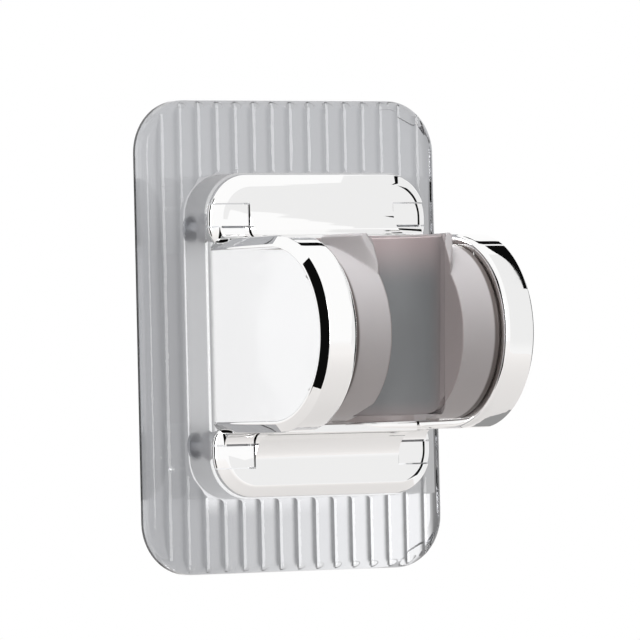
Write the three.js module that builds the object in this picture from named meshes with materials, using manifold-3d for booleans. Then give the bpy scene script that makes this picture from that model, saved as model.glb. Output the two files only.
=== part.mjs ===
// A shower head holder for a bathroom wall. A clear reeded plate is stuck to the wall and carries a clear
// plinth. Two bright feet and two bright hoops are screwed to the plinth from behind. Between the hoops a
// cradle with an open front takes the cone of a hand shower. It tilts on arc tongues, each of which runs
// between a hoop and the guide inside it.
//
// Millimetres, +Z up. The origin is the middle of the adhesive's wall face, +X is right and +Y is into
// the wall.

import * as THREE from "three";
import { mergeVertices } from "three/addons/utils/BufferGeometryUtils.js";
import Module from "manifold-3d";

const wasm = await Module();
wasm.setup();

// Adhesive sheet
const SHEET_THICKNESS = 1.0;
const SHEET_INSET = 1.5;

// Clear wall plate with its reeds
const PLATE_WIDTH = 72.0;
const PLATE_HEIGHT = 98.0;
const PLATE_BODY = 4.1;
const PLATE_CORNER = 11.0;
const PLATE_FRONT_ROUND = 2.2;
const PLATE_BACK_BREAK = 0.6;
const REED_COUNT = 16;
const REED_RISE = 0.9;

// Clear plinth on the plate, under the feet
const PLINTH_RISE = 8.5;
const PLINTH_EDGE = 0.5;

// Feet: bright flanges on the plinth, above and below the tunnel
const FOOT_THICKNESS = 2.5;
const FOOT_HEIGHT = 15.6;
const FOOT_MARGIN = 0.6;
const FOOT_OUTER_CORNER = 9.0;
const FOOT_INNER_CORNER = 5.0;
const FOOT_BEVEL_WIDTH = 2.2;
const FOOT_BEVEL_DEPTH = 1.3;
const FOOT_SCREW_SPREAD = 18.0;
const GUSSET_RADIUS = 5.5;
const GUSSET_RISE = 0.4;
const GUSSET_WALL = 2.2;

// Hoops: bright bands that stand out from the plinth round the ends of the cradle
const HOOP_RADIUS = 20.0;
const HOOP_WALL = 2.4;
const HOOP_WIDTH = 8.0;
const HOOP_STANDOFF = 20.5;
const HOOP_BEVEL_WIDTH = 1.2;
const HOOP_BEVEL_DEPTH = 1.9;
const HOOP_INNER_BREAK = 0.4;
const TAB_RISE = 7.0;
const TAB_SETBACK = 0.4;

// Cradle: a barrel with an upright collar through it
const BARREL_LENGTH = 35.0;
const BARREL_RECESS = 2.0;
const BARREL_WALL = 2.1;
const BARREL_HALF_ANGLE = 84.0;
const COLLAR_FORWARD = 3.6;
const COLLAR_WALL = 1.3;
const COLLAR_DROP = 18.3;
const COLLAR_EDGE = 0.5;
const COLLAR_LEAN_START = 13.5;
const COLLAR_LEAN_ANGLE = 24.0;
const BORE_TOP_RADIUS = 12.1;
const BORE_TAPER = 1.0;
const BORE_LEDGE = 1.4;
const MOUTH_WIDTH = 17.3;
const JAW_WALL = 1.7;
const LINER_WALL = 1.0;

// Tilting run: the cradle's tongues, the guides inside them and the lugs that stop them
const TILT_LIMIT = 25.0;
const STOP_MARGIN = 0.6;
const TONGUE_WALL = 1.9;
const GUIDE_WALL = 1.9;
const GUIDE_WEB = 1.2;
const LUG_DEPTH = 2.65;
const LUG_START_ANGLE = 51.5;
const LUG_END_ANGLE = 60.0;
const LUG_RISE = 3.2;
const PAD_HALF_ANGLE = 9.5;
const PAD_FLOOR = 0.6;
const PAD_PROUD = 0.15;

// Screws into the feet and hoops, and the bosses that take them
const BOSS_RADIUS = 3.0;
const BOSS_LENGTH = 6.0;
const SCREW_RADIUS = 1.4;
const SCREW_HEAD_RADIUS = 2.7;
const SCREW_HEAD_HEIGHT = 2.2;
const SCREW_HEAD_EDGE = 0.75;
const SCREW_HEAD_SINK = 0.8;
const SCREW_DRIVE_DEPTH = 1.1;

// Small screws that hold the guides
const GUIDE_SCREW_RADIUS = 0.8;
const GUIDE_SCREW_HEAD_RADIUS = 1.5;
const GUIDE_SCREW_HEAD_HEIGHT = 1.1;
const GUIDE_SCREW_HEAD_EDGE = 0.35;
const GUIDE_SCREW_DRIVE_DEPTH = 0.5;

// Clearances
const SIDE_CLEARANCE = 0.35;
const RUN_CLEARANCE = 0.3;
const SEAT_CLEARANCE = 0.3;
const SWEEP_CLEARANCE = 0.5;
const LINER_CLEARANCE = 0.15;
const SCREW_CLEARANCE = 0.2;

// How far a cut runs past the faces it opens
const CUT_OVERRUN = 1.0;

// Fineness of round shapes
const CORNER_STEPS = 6;
const EDGE_STEPS = 3;
const REED_STEPS = 4;
const HOOP_STEPS = 22;
const TUBE_SIDES = 36;
const SCREW_SIDES = 12;
const ARC_STEP_ANGLE = 8.0;

// Planes along Y, from the wall to the front
const plateBack = -SHEET_THICKNESS;
const reedValley = plateBack - PLATE_BODY;
const reedCrest = reedValley - REED_RISE;
const plinthFront = reedCrest - PLINTH_RISE;
const footFront = plinthFront - FOOT_THICKNESS;
const axisY = footFront - HOOP_STANDOFF;
const wallFace = plinthFront - axisY;
const headSeat = plateBack - SCREW_HEAD_SINK - SCREW_HEAD_HEIGHT;

// Stations along X, from the middle to the right
const barrelEnd = BARREL_LENGTH / 2;
const hoopInnerFace = barrelEnd + SIDE_CLEARANCE;
const hoopOuterFace = hoopInnerFace + HOOP_WIDTH;
const hoopMiddle = (hoopInnerFace + hoopOuterFace) / 2;
const lugFace = hoopInnerFace + LUG_DEPTH;
const webFace = lugFace + GUIDE_WEB;
const footEnd = hoopOuterFace + FOOT_MARGIN;

// Radii round the tilt axis
const hoopBore = HOOP_RADIUS - HOOP_WALL;
const barrelRadius = HOOP_RADIUS - BARREL_RECESS;
const tongueOuter = hoopBore - RUN_CLEARANCE;
const tongueInner = tongueOuter - TONGUE_WALL;
const guideOuter = tongueInner - RUN_CLEARANCE;
const guideInner = guideOuter - GUIDE_WALL;
const lugInner = hoopBore - LUG_RISE;
const lugMiddleAngle = (LUG_START_ANGLE + LUG_END_ANGLE) / 2;
const lugMiddleRadius = (lugInner + hoopBore) / 2;
const tongueHalfAngle = LUG_START_ANGLE - TILT_LIMIT - STOP_MARGIN;

// Heights from the tilt axis
const footLow = hoopBore;
const footHigh = footLow + FOOT_HEIGHT;
const footMiddle = (footLow + footHigh) / 2;
const tabHigh = HOOP_RADIUS + TAB_RISE;
const tabMiddle = (footLow + tabHigh) / 2;
const gussetTop = HOOP_RADIUS + GUSSET_RISE;
const gussetUnder = gussetTop - GUSSET_WALL;
const collarTop = HOOP_RADIUS;

// Collar and its bore
const collarRadius = BORE_TOP_RADIUS + COLLAR_WALL;
const boreBottomRadius = BORE_TOP_RADIUS - BORE_TAPER;
const ledgeRadius = boreBottomRadius - LINER_WALL - LINER_CLEARANCE;
const collarSweep = Math.hypot(collarRadius - COLLAR_FORWARD, collarTop);

// Closed solid through rings of points. The rings have as many points each and turn the same way.
function loft(rings) {
  const count = rings[0].length;
  const last = (rings.length - 1) * count;
  const positions = rings.flat().flatMap((point) => point.toArray());
  const index = [];
  for (let ring = 0; ring < rings.length - 1; ring += 1) {
    for (let i = 0; i < count; i += 1) {
      const j = (i + 1) % count;
      const here = ring * count;
      const next = here + count;
      index.push(next + i, here + i, here + j);
      index.push(next + i, here + j, next + j);
    }
  }
  for (let i = 1; i < count - 1; i += 1) {
    index.push(0, i + 1, i);
    index.push(last, last + i, last + i + 1);
  }
  const geometry = new THREE.BufferGeometry();
  geometry.setAttribute("position", new THREE.Float32BufferAttribute(positions, 3));
  geometry.setIndex(index);
  return geometry;
}

// Solid of a closed geometry, for joining and cutting
function solid(geometry) {
  const bare = geometry.clone();
  bare.deleteAttribute("normal");
  bare.deleteAttribute("uv");
  const welded = mergeVertices(bare, 1e-4);
  const corners = welded.index.array;
  const triangles = [];
  for (let i = 0; i < corners.length; i += 3) {
    const [a, b, c] = corners.slice(i, i + 3);
    if (a !== b && b !== c && c !== a) triangles.push(a, b, c);
  }
  return new wasm.Manifold(
    new wasm.Mesh({
      numProp: 3,
      vertProperties: welded.attributes.position.array,
      triVerts: new Uint32Array(triangles),
    }),
  );
}

function join(first, ...others) {
  return others.reduce((whole, piece) => whole.add(piece), first);
}

function cut(whole, ...tools) {
  return tools.reduce((left, tool) => left.subtract(tool), whole);
}

function meshOf(name, body, material) {
  const { vertProperties, triVerts } = body.getMesh();
  const geometry = new THREE.BufferGeometry();
  geometry.setAttribute("position", new THREE.BufferAttribute(vertProperties, 3));
  geometry.setIndex(new THREE.BufferAttribute(triVerts, 1));
  geometry.computeVertexNormals();
  const mesh = new THREE.Mesh(geometry, material);
  mesh.name = name;
  return mesh;
}

function block([x0, x1], [y0, y1], [z0, z1]) {
  const geometry = new THREE.BoxGeometry(x1 - x0, y1 - y0, z1 - z0);
  return solid(geometry.translate((x0 + x1) / 2, (y0 + y1) / 2, (z0 + z1) / 2));
}

function rodAlongY(radius, [y0, y1], x, z) {
  const geometry = new THREE.CylinderGeometry(radius, radius, y1 - y0, SCREW_SIDES);
  return solid(geometry.translate(x, (y0 + y1) / 2, z));
}

// Profile of radii and heights turned round the Y axis
function turned(profile, sides) {
  return new THREE.LatheGeometry(profile.map((point) => new THREE.Vector2(...point)), sides);
}

// Shape drawn with x along +Y and y along +Z, drawn out along X
function drawnAlongX(shape, [x0, x1], curveSegments) {
  const settings = { depth: x1 - x0, bevelEnabled: false, curveSegments };
  const geometry = new THREE.ExtrudeGeometry(shape, settings);
  const turn = new THREE.Matrix4().set(0, 0, 1, x0, 1, 0, 0, 0, 0, 1, 0, 0, 0, 0, 0, 1);
  return solid(geometry.applyMatrix4(turn));
}

// Part of a ring round the tilt axis. Angles in degrees rise from 0 at the front to 90 at the top.
function ringPart([inner, outer], [low, high], span) {
  const from = THREE.MathUtils.degToRad(180 - high);
  const to = THREE.MathUtils.degToRad(180 - low);
  const shape = new THREE.Shape();
  shape.absarc(0, 0, outer, from, to, false);
  shape.absarc(0, 0, inner, to, from, true);
  shape.closePath();
  return drawnAlongX(shape, span, Math.ceil((high - low) / ARC_STEP_ANGLE));
}

// Rectangle with round corners in a plane of constant Y, counter-clockwise seen from the front.
// Corners that are too large for the rectangle are drawn smaller.
function roundedRing(y, [x0, x1], [z0, z1], lowCorner, highCorner, inset) {
  const room = Math.min(1, (z1 - z0) / (lowCorner + highCorner));
  const corners = [
    [x0, z0, lowCorner * room, 180],
    [x1, z0, lowCorner * room, 270],
    [x1, z1, highCorner * room, 0],
    [x0, z1, highCorner * room, 90],
  ];
  return corners.flatMap(([x, z, corner, start]) => {
    const centreX = x + (x === x0 ? corner : -corner);
    const centreZ = z + (z === z0 ? corner : -corner);
    return Array.from({ length: CORNER_STEPS + 1 }, (_, step) => {
      const angle = THREE.MathUtils.degToRad(start + (90 * step) / CORNER_STEPS);
      const radius = corner - inset;
      return new THREE.Vector3(centreX + radius * Math.cos(angle), y, centreZ + radius * Math.sin(angle));
    });
  });
}

// Plate and plinth

function reededSlab() {
  const pitch = PLATE_WIDTH / REED_COUNT;
  const reedRadius = (pitch * pitch) / (8 * REED_RISE) + REED_RISE / 2;
  const halfAngle = Math.asin(pitch / 2 / reedRadius);
  const start = -Math.PI / 2 - halfAngle;
  const end = -Math.PI / 2 + halfAngle;
  const shape = new THREE.Shape();
  for (let reed = 0; reed < REED_COUNT; reed += 1) {
    const x = (reed + 0.5) * pitch - PLATE_WIDTH / 2;
    shape.absarc(x, reedCrest + reedRadius, reedRadius, start, end, false);
  }
  shape.lineTo(PLATE_WIDTH / 2, plateBack);
  shape.lineTo(-PLATE_WIDTH / 2, plateBack);
  shape.closePath();
  const settings = { depth: PLATE_HEIGHT, bevelEnabled: false, curveSegments: REED_STEPS };
  return solid(new THREE.ExtrudeGeometry(shape, settings).translate(0, 0, -PLATE_HEIGHT / 2));
}

function plateBlank() {
  const across = [-PLATE_WIDTH / 2, PLATE_WIDTH / 2];
  const upright = [-PLATE_HEIGHT / 2, PLATE_HEIGHT / 2];
  const ring = (y, inset) => roundedRing(y, across, upright, PLATE_CORNER, PLATE_CORNER, inset);
  const rings = [ring(plateBack, PLATE_BACK_BREAK), ring(plateBack - PLATE_BACK_BREAK, 0)];
  for (let step = 0; step <= EDGE_STEPS; step += 1) {
    const angle = (step / EDGE_STEPS) * (Math.PI / 2);
    const y = reedCrest + PLATE_FRONT_ROUND * (1 - Math.sin(angle));
    rings.push(ring(y, PLATE_FRONT_ROUND * (1 - Math.cos(angle))));
  }
  return solid(loft(rings));
}

function plinth() {
  const across = [-footEnd, footEnd];
  const upright = [-footHigh, footHigh];
  const ring = (y, inset) => roundedRing(y, across, upright, FOOT_OUTER_CORNER, FOOT_OUTER_CORNER, inset);
  const rings = [ring(reedValley, 0), ring(plinthFront + PLINTH_EDGE, 0), ring(plinthFront, PLINTH_EDGE)];
  return solid(loft(rings));
}

// Stepped hole for a boss from the front, a screw in the middle and its head from the back
function fixingHole(x, z) {
  const pocketEnd = plinthFront + BOSS_LENGTH + SEAT_CLEARANCE;
  return join(
    rodAlongY(BOSS_RADIUS + SEAT_CLEARANCE, [plinthFront - CUT_OVERRUN, pocketEnd], x, z),
    rodAlongY(SCREW_RADIUS + SCREW_CLEARANCE, [plinthFront, plateBack], x, z),
    rodAlongY(SCREW_HEAD_RADIUS + SCREW_CLEARANCE, [headSeat, plateBack + CUT_OVERRUN], x, z),
  );
}

const footScrewPlaces = [FOOT_SCREW_SPREAD / 2, -FOOT_SCREW_SPREAD / 2].map((x) => [x, footMiddle]);
const hoopScrewPlaces = [tabMiddle, -tabMiddle].map((z) => [hoopMiddle, z]);

function wallPlate() {
  const places = [...footScrewPlaces, ...hoopScrewPlaces];
  const holes = places.flatMap(([x, z]) => [fixingHole(x, z), fixingHole(-x, -z)]);
  return cut(join(reededSlab().intersect(plateBlank()), plinth()), ...holes);
}

function adhesiveSheet() {
  const across = [-PLATE_WIDTH / 2, PLATE_WIDTH / 2];
  const upright = [-PLATE_HEIGHT / 2, PLATE_HEIGHT / 2];
  const ring = (y) => roundedRing(y, across, upright, PLATE_CORNER, PLATE_CORNER, SHEET_INSET);
  return solid(loft([ring(0), ring(plateBack)]));
}

// Flanges and bosses on the plinth's face, which lies at Y = face in the frame of the piece

// Boss behind a foot or a tab, and the blind hole in it
function boss(face, [x, z]) {
  return rodAlongY(BOSS_RADIUS, [face - FOOT_THICKNESS / 2, face + BOSS_LENGTH], x, z);
}

function pilotHole(face, [x, z]) {
  const span = [face + SCREW_CLEARANCE, face + BOSS_LENGTH + CUT_OVERRUN];
  return rodAlongY(SCREW_RADIUS + SCREW_CLEARANCE, span, x, z);
}

// Whole flange of a foot with a bevel round its front. The foot and the hoops' tabs are cut from it.
function flange(face, thickness, level) {
  const upright = level > 0 ? [footLow, footHigh] : [-footHigh, -footLow];
  const fromInside = [FOOT_INNER_CORNER, FOOT_OUTER_CORNER];
  const corners = level > 0 ? fromInside : fromInside.toReversed();
  const ring = (y, inset) => roundedRing(y, [-footEnd, footEnd], upright, ...corners, inset);
  const front = face - thickness;
  return solid(loft([ring(face, 0), ring(front + FOOT_BEVEL_DEPTH, 0), ring(front, FOOT_BEVEL_WIDTH)]));
}

// Screw along Y with its tip to the front: a shank, a round head and a cone-shaped drive
function fixingScrew([x, z]) {
  const tip = plinthFront + 2 * SCREW_CLEARANCE;
  const head = headSeat + SCREW_HEAD_HEIGHT;
  const profile = [
    [0, tip],
    [SCREW_RADIUS / 2, tip],
    [SCREW_RADIUS, tip + SCREW_RADIUS],
    [SCREW_RADIUS, headSeat],
    [SCREW_HEAD_RADIUS, headSeat],
    [SCREW_HEAD_RADIUS, head - SCREW_HEAD_EDGE],
    [SCREW_HEAD_RADIUS - SCREW_HEAD_EDGE, head],
    [SCREW_RADIUS, head],
    [0, head - SCREW_DRIVE_DEPTH],
  ];
  return solid(turned(profile, SCREW_SIDES).translate(x, 0, z));
}

// The upper foot. The lower one is the same piece turned half round.
function foot() {
  const notchInner = hoopInnerFace - SEAT_CLEARANCE;
  const notchTop = tabHigh + SEAT_CLEARANCE;
  const notchEnd = footEnd + CUT_OVERRUN;
  const depth = [footFront - CUT_OVERRUN, plinthFront + CUT_OVERRUN];
  const notches = [[notchInner, notchEnd], [-notchEnd, -notchInner]].map((span) =>
    block(span, depth, [footLow - CUT_OVERRUN, notchTop]),
  );
  const body = join(
    cut(flange(plinthFront, FOOT_THICKNESS, 1), ...notches),
    gusset(),
    ...footScrewPlaces.map((place) => boss(plinthFront, place)),
  );
  return cut(body, ...footScrewPlaces.map((place) => pilotHole(plinthFront, place)));
}

// Curved web from the foot's face to a lip over the cradle, clear of the collar's back corner as it tilts
function gusset() {
  const lip = axisY + Math.sqrt((collarSweep + SWEEP_CLEARANCE) ** 2 - gussetUnder ** 2);
  const radius = Math.min(GUSSET_RADIUS, footFront - lip);
  const shape = new THREE.Shape();
  shape.moveTo(lip, gussetUnder);
  shape.lineTo(plinthFront, gussetUnder);
  shape.lineTo(plinthFront, gussetTop + radius);
  shape.absarc(footFront - radius, gussetTop + radius, radius, 0, -Math.PI / 2, true);
  shape.lineTo(lip, gussetTop);
  shape.closePath();
  const reach = hoopInnerFace - SEAT_CLEARANCE;
  return drawnAlongX(shape, [-reach, reach], CORNER_STEPS);
}

// Parts round the tilt axis, in a frame whose origin is on that axis

// The right hoop: a bevelled band with straight arms, upturned tabs on the plinth and lugs for the guide.
// The left one is the same piece turned half round.
function hoop() {
  const section = [
    [hoopInnerFace, hoopBore],
    [hoopOuterFace, hoopBore],
    [hoopOuterFace, HOOP_RADIUS - HOOP_BEVEL_DEPTH],
    [hoopOuterFace - HOOP_BEVEL_WIDTH, HOOP_RADIUS],
    [hoopInnerFace + HOOP_INNER_BREAK, HOOP_RADIUS],
    [hoopInnerFace, HOOP_RADIUS - HOOP_INNER_BREAK],
  ];
  const ring = (y, angle) =>
    section.map(([x, r]) => new THREE.Vector3(x, y - r * Math.cos(angle), r * Math.sin(angle)));
  const rings = [ring(wallFace, Math.PI / 2)];
  for (let step = 0; step <= HOOP_STEPS; step += 1) {
    rings.push(ring(0, Math.PI / 2 - (Math.PI * step) / HOOP_STEPS));
  }
  rings.push(ring(wallFace, -Math.PI / 2));
  const lugAngles = [LUG_START_ANGLE, LUG_END_ANGLE];
  const lugRadii = [lugInner, hoopBore + HOOP_WALL / 2];
  const lugSpan = [hoopInnerFace, lugFace];
  const body = join(
    solid(loft(rings)),
    tab(1),
    tab(-1),
    ringPart(lugRadii, lugAngles, lugSpan),
    ringPart(lugRadii, [-LUG_END_ANGLE, -LUG_START_ANGLE], lugSpan),
    ...hoopScrewPlaces.map((place) => boss(wallFace, place)),
  );
  return cut(
    body,
    ...hoopScrewPlaces.map((place) => pilotHole(wallFace, place)),
    ...[lugMiddleAngle, -lugMiddleAngle].map((angle) => guideScrewHole(angle)),
  );
}

// Upturned end of a hoop's arm. It fills the notch in the foot, a little behind the foot's face.
function tab(level) {
  const upright = level > 0 ? [0, tabHigh] : [-tabHigh, 0];
  const depth = [wallFace - FOOT_THICKNESS, wallFace + CUT_OVERRUN];
  const notch = block([hoopInnerFace, footEnd + CUT_OVERRUN], depth, upright);
  return flange(wallFace, FOOT_THICKNESS - TAB_SETBACK, level).intersect(notch);
}

function lugPoint(angle) {
  const turn = THREE.MathUtils.degToRad(angle);
  return [-lugMiddleRadius * Math.cos(turn), lugMiddleRadius * Math.sin(turn)];
}

// Hole along X through the guide's web and most of the lug
function guideScrewHole(angle) {
  const [y, z] = lugPoint(angle);
  const radius = GUIDE_SCREW_RADIUS + SCREW_CLEARANCE;
  const start = hoopInnerFace + SCREW_CLEARANCE;
  const end = webFace + CUT_OVERRUN;
  const geometry = new THREE.CylinderGeometry(radius, radius, end - start, SCREW_SIDES);
  return solid(geometry.rotateZ(Math.PI / 2).translate((start + end) / 2, y, z));
}

function guideScrew(angle) {
  const [y, z] = lugPoint(angle);
  const tip = hoopInnerFace + 2 * SCREW_CLEARANCE;
  const head = webFace + GUIDE_SCREW_HEAD_HEIGHT;
  const profile = [
    [0, tip],
    [GUIDE_SCREW_RADIUS, tip],
    [GUIDE_SCREW_RADIUS, webFace],
    [GUIDE_SCREW_HEAD_RADIUS, webFace],
    [GUIDE_SCREW_HEAD_RADIUS, head - GUIDE_SCREW_HEAD_EDGE],
    [GUIDE_SCREW_RADIUS, head],
    [0, head - GUIDE_SCREW_DRIVE_DEPTH],
  ];
  return solid(turned(profile, SCREW_SIDES).rotateZ(-Math.PI / 2).translate(0, y, z));
}

// L-shaped arc: a web across the outside of the tongue and a wall inside it, with a friction pad's pocket
function guide() {
  const wallAngle = LUG_START_ANGLE - STOP_MARGIN;
  const pocketAngle = PAD_HALF_ANGLE + STOP_MARGIN;
  const webRadii = [guideInner, hoopBore - SEAT_CLEARANCE];
  const wallSpan = [hoopInnerFace, lugFace + GUIDE_WEB / 2];
  const pocketRadii = [guideInner + PAD_FLOOR, guideOuter + CUT_OVERRUN];
  const pocketSpan = [hoopInnerFace - CUT_OVERRUN, lugFace];
  const body = join(
    ringPart(webRadii, [-LUG_END_ANGLE, LUG_END_ANGLE], [lugFace, webFace]),
    ringPart([guideInner, guideOuter], [-wallAngle, wallAngle], wallSpan),
  );
  return cut(
    body,
    ringPart(pocketRadii, [-pocketAngle, pocketAngle], pocketSpan),
    ...[lugMiddleAngle, -lugMiddleAngle].map((angle) => guideScrewHole(angle)),
  );
}

function frictionPad() {
  const radii = [guideInner + PAD_FLOOR + LINER_CLEARANCE, guideOuter + PAD_PROUD];
  const span = [hoopInnerFace + SEAT_CLEARANCE, lugFace - LINER_CLEARANCE];
  return ringPart(radii, [-PAD_HALF_ANGLE, PAD_HALF_ANGLE], span);
}

// Solid of a profile of radii and heights turned round the collar's axis
function turnedOnCollar(profile) {
  return solid(turned(profile, TUBE_SIDES).rotateX(Math.PI / 2).translate(0, -COLLAR_FORWARD, 0));
}

// Front gap that lets the hose pass, open to the front and to both ends of the collar
function mouth(halfWidth) {
  const reach = 2 * HOOP_RADIUS;
  return block([-halfWidth, halfWidth], [-reach, -COLLAR_FORWARD], [-reach, reach]);
}

// What is trimmed off the front of the collar and its liner: a wedge above, which lets the ears beside the
// gap lean back, and below all that would stand out of the barrel's round
function frontTrim() {
  const reach = 2 * HOOP_RADIUS;
  const span = [-collarRadius, collarRadius];
  const high = collarTop + CUT_OVERRUN;
  const start = -COLLAR_FORWARD - Math.sqrt(collarRadius ** 2 - (MOUTH_WIDTH / 2) ** 2);
  const slope = Math.tan(THREE.MathUtils.degToRad(COLLAR_LEAN_ANGLE));
  const shape = new THREE.Shape();
  shape.moveTo(start, COLLAR_LEAN_START);
  shape.lineTo(start + (high - COLLAR_LEAN_START) * slope, high);
  shape.lineTo(-reach, high);
  shape.lineTo(-reach, COLLAR_LEAN_START);
  shape.closePath();
  const below = ringPart([barrelRadius - BARREL_WALL / 2, reach], [-BARREL_HALF_ANGLE, 0], span);
  return join(drawnAlongX(shape, span, 1), below);
}

function cradle() {
  const tongueEnd = lugFace - RUN_CLEARANCE;
  const jawReach = MOUTH_WIDTH / 2 + JAW_WALL;
  const shell = ringPart(
    [barrelRadius - BARREL_WALL, barrelRadius],
    [-BARREL_HALF_ANGLE, BARREL_HALF_ANGLE],
    [-barrelEnd, barrelEnd],
  );
  const tongues = ringPart(
    [tongueInner, tongueOuter],
    [-tongueHalfAngle, tongueHalfAngle],
    [-tongueEnd, tongueEnd],
  );
  const jaws = ringPart(
    [BORE_TOP_RADIUS, barrelRadius - BARREL_WALL / 2],
    [-BARREL_HALF_ANGLE, BARREL_HALF_ANGLE],
    [-jawReach, jawReach],
  );
  const collar = turnedOnCollar([
    [0, -COLLAR_DROP],
    [collarRadius - COLLAR_EDGE, -COLLAR_DROP],
    [collarRadius, COLLAR_EDGE - COLLAR_DROP],
    [collarRadius, collarTop - COLLAR_EDGE],
    [collarRadius - COLLAR_EDGE, collarTop],
    [0, collarTop],
  ]);
  const bore = turnedOnCollar([
    [0, -COLLAR_DROP - CUT_OVERRUN],
    [ledgeRadius, -COLLAR_DROP - CUT_OVERRUN],
    [ledgeRadius, BORE_LEDGE - COLLAR_DROP],
    [boreBottomRadius, BORE_LEDGE - COLLAR_DROP],
    [BORE_TOP_RADIUS, collarTop],
    [BORE_TOP_RADIUS, collarTop + CUT_OVERRUN],
    [0, collarTop + CUT_OVERRUN],
  ]);
  return cut(join(shell, tongues, jaws, cut(collar, frontTrim())), bore, mouth(MOUTH_WIDTH / 2));
}

// Soft sleeve in the bore, open at the front like the collar
function boreLiner() {
  const low = BORE_LEDGE - COLLAR_DROP + LINER_CLEARANCE;
  const high = collarTop - COLLAR_EDGE;
  const bottom = boreBottomRadius - LINER_CLEARANCE;
  const top = BORE_TOP_RADIUS - LINER_CLEARANCE;
  const sleeve = turnedOnCollar([
    [bottom - LINER_WALL, low],
    [bottom, low],
    [top, high],
    [top - LINER_WALL, high],
    [bottom - LINER_WALL, low],
  ]);
  return cut(sleeve, mouth(MOUTH_WIDTH / 2), frontTrim());
}

// Finishes

function finish(color, roughness, metalness) {
  return new THREE.MeshStandardMaterial({ color, roughness, metalness });
}

const clearPlastic = finish(0xd9dadf, 0.08, 0.0);
const adhesiveGel = finish(0xe6e7ea, 0.45, 0.0);
const brightPlating = finish(0xf2f2f2, 0.06, 1.0);
const mauvePlastic = finish(0xb9b2b2, 0.38, 0.0);
const darkRubber = finish(0x6f7072, 0.65, 0.0);
const slidePlastic = finish(0xe9e9e4, 0.5, 0.0);
const steel = finish(0xa7a9ac, 0.3, 1.0);

// Assembly

const holder = new THREE.Group();
holder.add(meshOf("adhesive_sheet", adhesiveSheet(), adhesiveGel));
holder.add(meshOf("wall_plate", wallPlate(), clearPlastic));

for (const [level, turn] of [["upper", 0], ["lower", Math.PI]]) {
  const group = new THREE.Group();
  group.rotation.y = turn;
  group.add(meshOf(`${level}_foot`, foot(), brightPlating));
  footScrewPlaces.forEach((place, number) => {
    group.add(meshOf(`${level}_foot_screw_${number + 1}`, fixingScrew(place), steel));
  });
  holder.add(group);
}

for (const [side, turn] of [["right", 0], ["left", Math.PI]]) {
  const group = new THREE.Group();
  group.rotation.y = turn;
  hoopScrewPlaces.forEach((place, number) => {
    group.add(meshOf(`${side}_hoop_screw_${number + 1}`, fixingScrew(place), steel));
  });
  const onAxis = new THREE.Group();
  onAxis.position.y = axisY;
  onAxis.add(meshOf(`${side}_hoop`, hoop(), brightPlating));
  onAxis.add(meshOf(`${side}_guide`, guide(), slidePlastic));
  onAxis.add(meshOf(`${side}_friction_pad`, frictionPad(), darkRubber));
  [lugMiddleAngle, -lugMiddleAngle].forEach((angle, number) => {
    onAxis.add(meshOf(`${side}_guide_screw_${number + 1}`, guideScrew(angle), steel));
  });
  group.add(onAxis);
  holder.add(group);
}

const tilting = new THREE.Group();
tilting.position.y = axisY;
tilting.add(meshOf("cradle", cradle(), mauvePlastic));
tilting.add(meshOf("bore_liner", boreLiner(), darkRubber));
holder.add(tilting);

export default holder;
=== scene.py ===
"""A shower head holder: a clear reeded wall plate, bright feet and hoops, and a tilting cradle."""

import math
from types import SimpleNamespace

import bmesh
import bpy
from mathutils import Matrix, Vector


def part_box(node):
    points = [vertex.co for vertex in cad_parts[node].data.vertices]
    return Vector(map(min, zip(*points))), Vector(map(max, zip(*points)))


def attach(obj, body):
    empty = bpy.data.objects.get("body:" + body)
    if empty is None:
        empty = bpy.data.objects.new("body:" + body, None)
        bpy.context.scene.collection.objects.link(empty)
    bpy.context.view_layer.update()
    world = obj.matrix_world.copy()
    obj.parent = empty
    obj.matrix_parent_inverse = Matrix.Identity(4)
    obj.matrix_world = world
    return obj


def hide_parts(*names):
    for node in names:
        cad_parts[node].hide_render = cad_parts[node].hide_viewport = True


bl_info = {
    "name": "Shower Head Holder",
    "version": (1, 0, 0),
    "blender": (4, 5, 0),
    "location": "View3D > Sidebar > Holder",
    "description": "Builds the fine pieces, finishes and stage of a shower head holder on its frame",
    "category": "Add Mesh",
}

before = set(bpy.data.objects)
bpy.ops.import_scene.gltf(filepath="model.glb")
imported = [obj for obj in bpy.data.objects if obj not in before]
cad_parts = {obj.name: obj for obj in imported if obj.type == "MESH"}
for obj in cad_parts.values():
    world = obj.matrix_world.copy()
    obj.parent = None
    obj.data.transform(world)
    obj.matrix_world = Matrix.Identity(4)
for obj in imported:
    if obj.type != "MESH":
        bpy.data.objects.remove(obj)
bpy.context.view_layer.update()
plate_low, plate_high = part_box("wall_plate")

MM = 0.001
WELD = 1e-7  # Points nearer to each other than this are made one
OVER = 1.0 * MM  # How far a cutting tool reaches past what it cuts
SEAT_GAP = 0.05 * MM  # Gap between a bright piece and the plinth
SHEET_GAP = 0.04 * MM  # Gap between the adhesive sheet and the plate
SHEET_EDGE = 0.15 * MM  # Bevel of the adhesive sheet
SHEET_BREAK = 0.2 * MM  # Where the bevel next to the plate starts
LINER_GAP = 0.03 * MM  # Gap between the liner and its bore
LINER_LIP = 0.3 * MM  # Bevel on the liner's top
SCREW_GAP = 0.4 * MM  # Gap before the tip of a screw
GUIDE_GAP = 0.6  # Degrees between a guide's wall and a lug
LUG_ROOT = 0.4 * MM  # How far a lug reaches into its hoop
QUARTER = math.pi / 2
WHITE = (1.0, 1.0, 1.0)

# Camera of the photo
SENSOR_WIDTH = 36.0
CAMERA_PLACE = (-0.80169, -1.26490, -0.01458)
CAMERA_RIGHT = (0.84163, -0.53964, -0.02251)
CAMERA_UP = (0.01254, -0.02215, 0.99968)
CAMERA_BACK = (-0.53996, -0.84164, -0.01187)


# Cards round the object, for what its bright and clear pieces show

def side_card(x, points):
    return [(x, y, z) for y, z in points]


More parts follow.
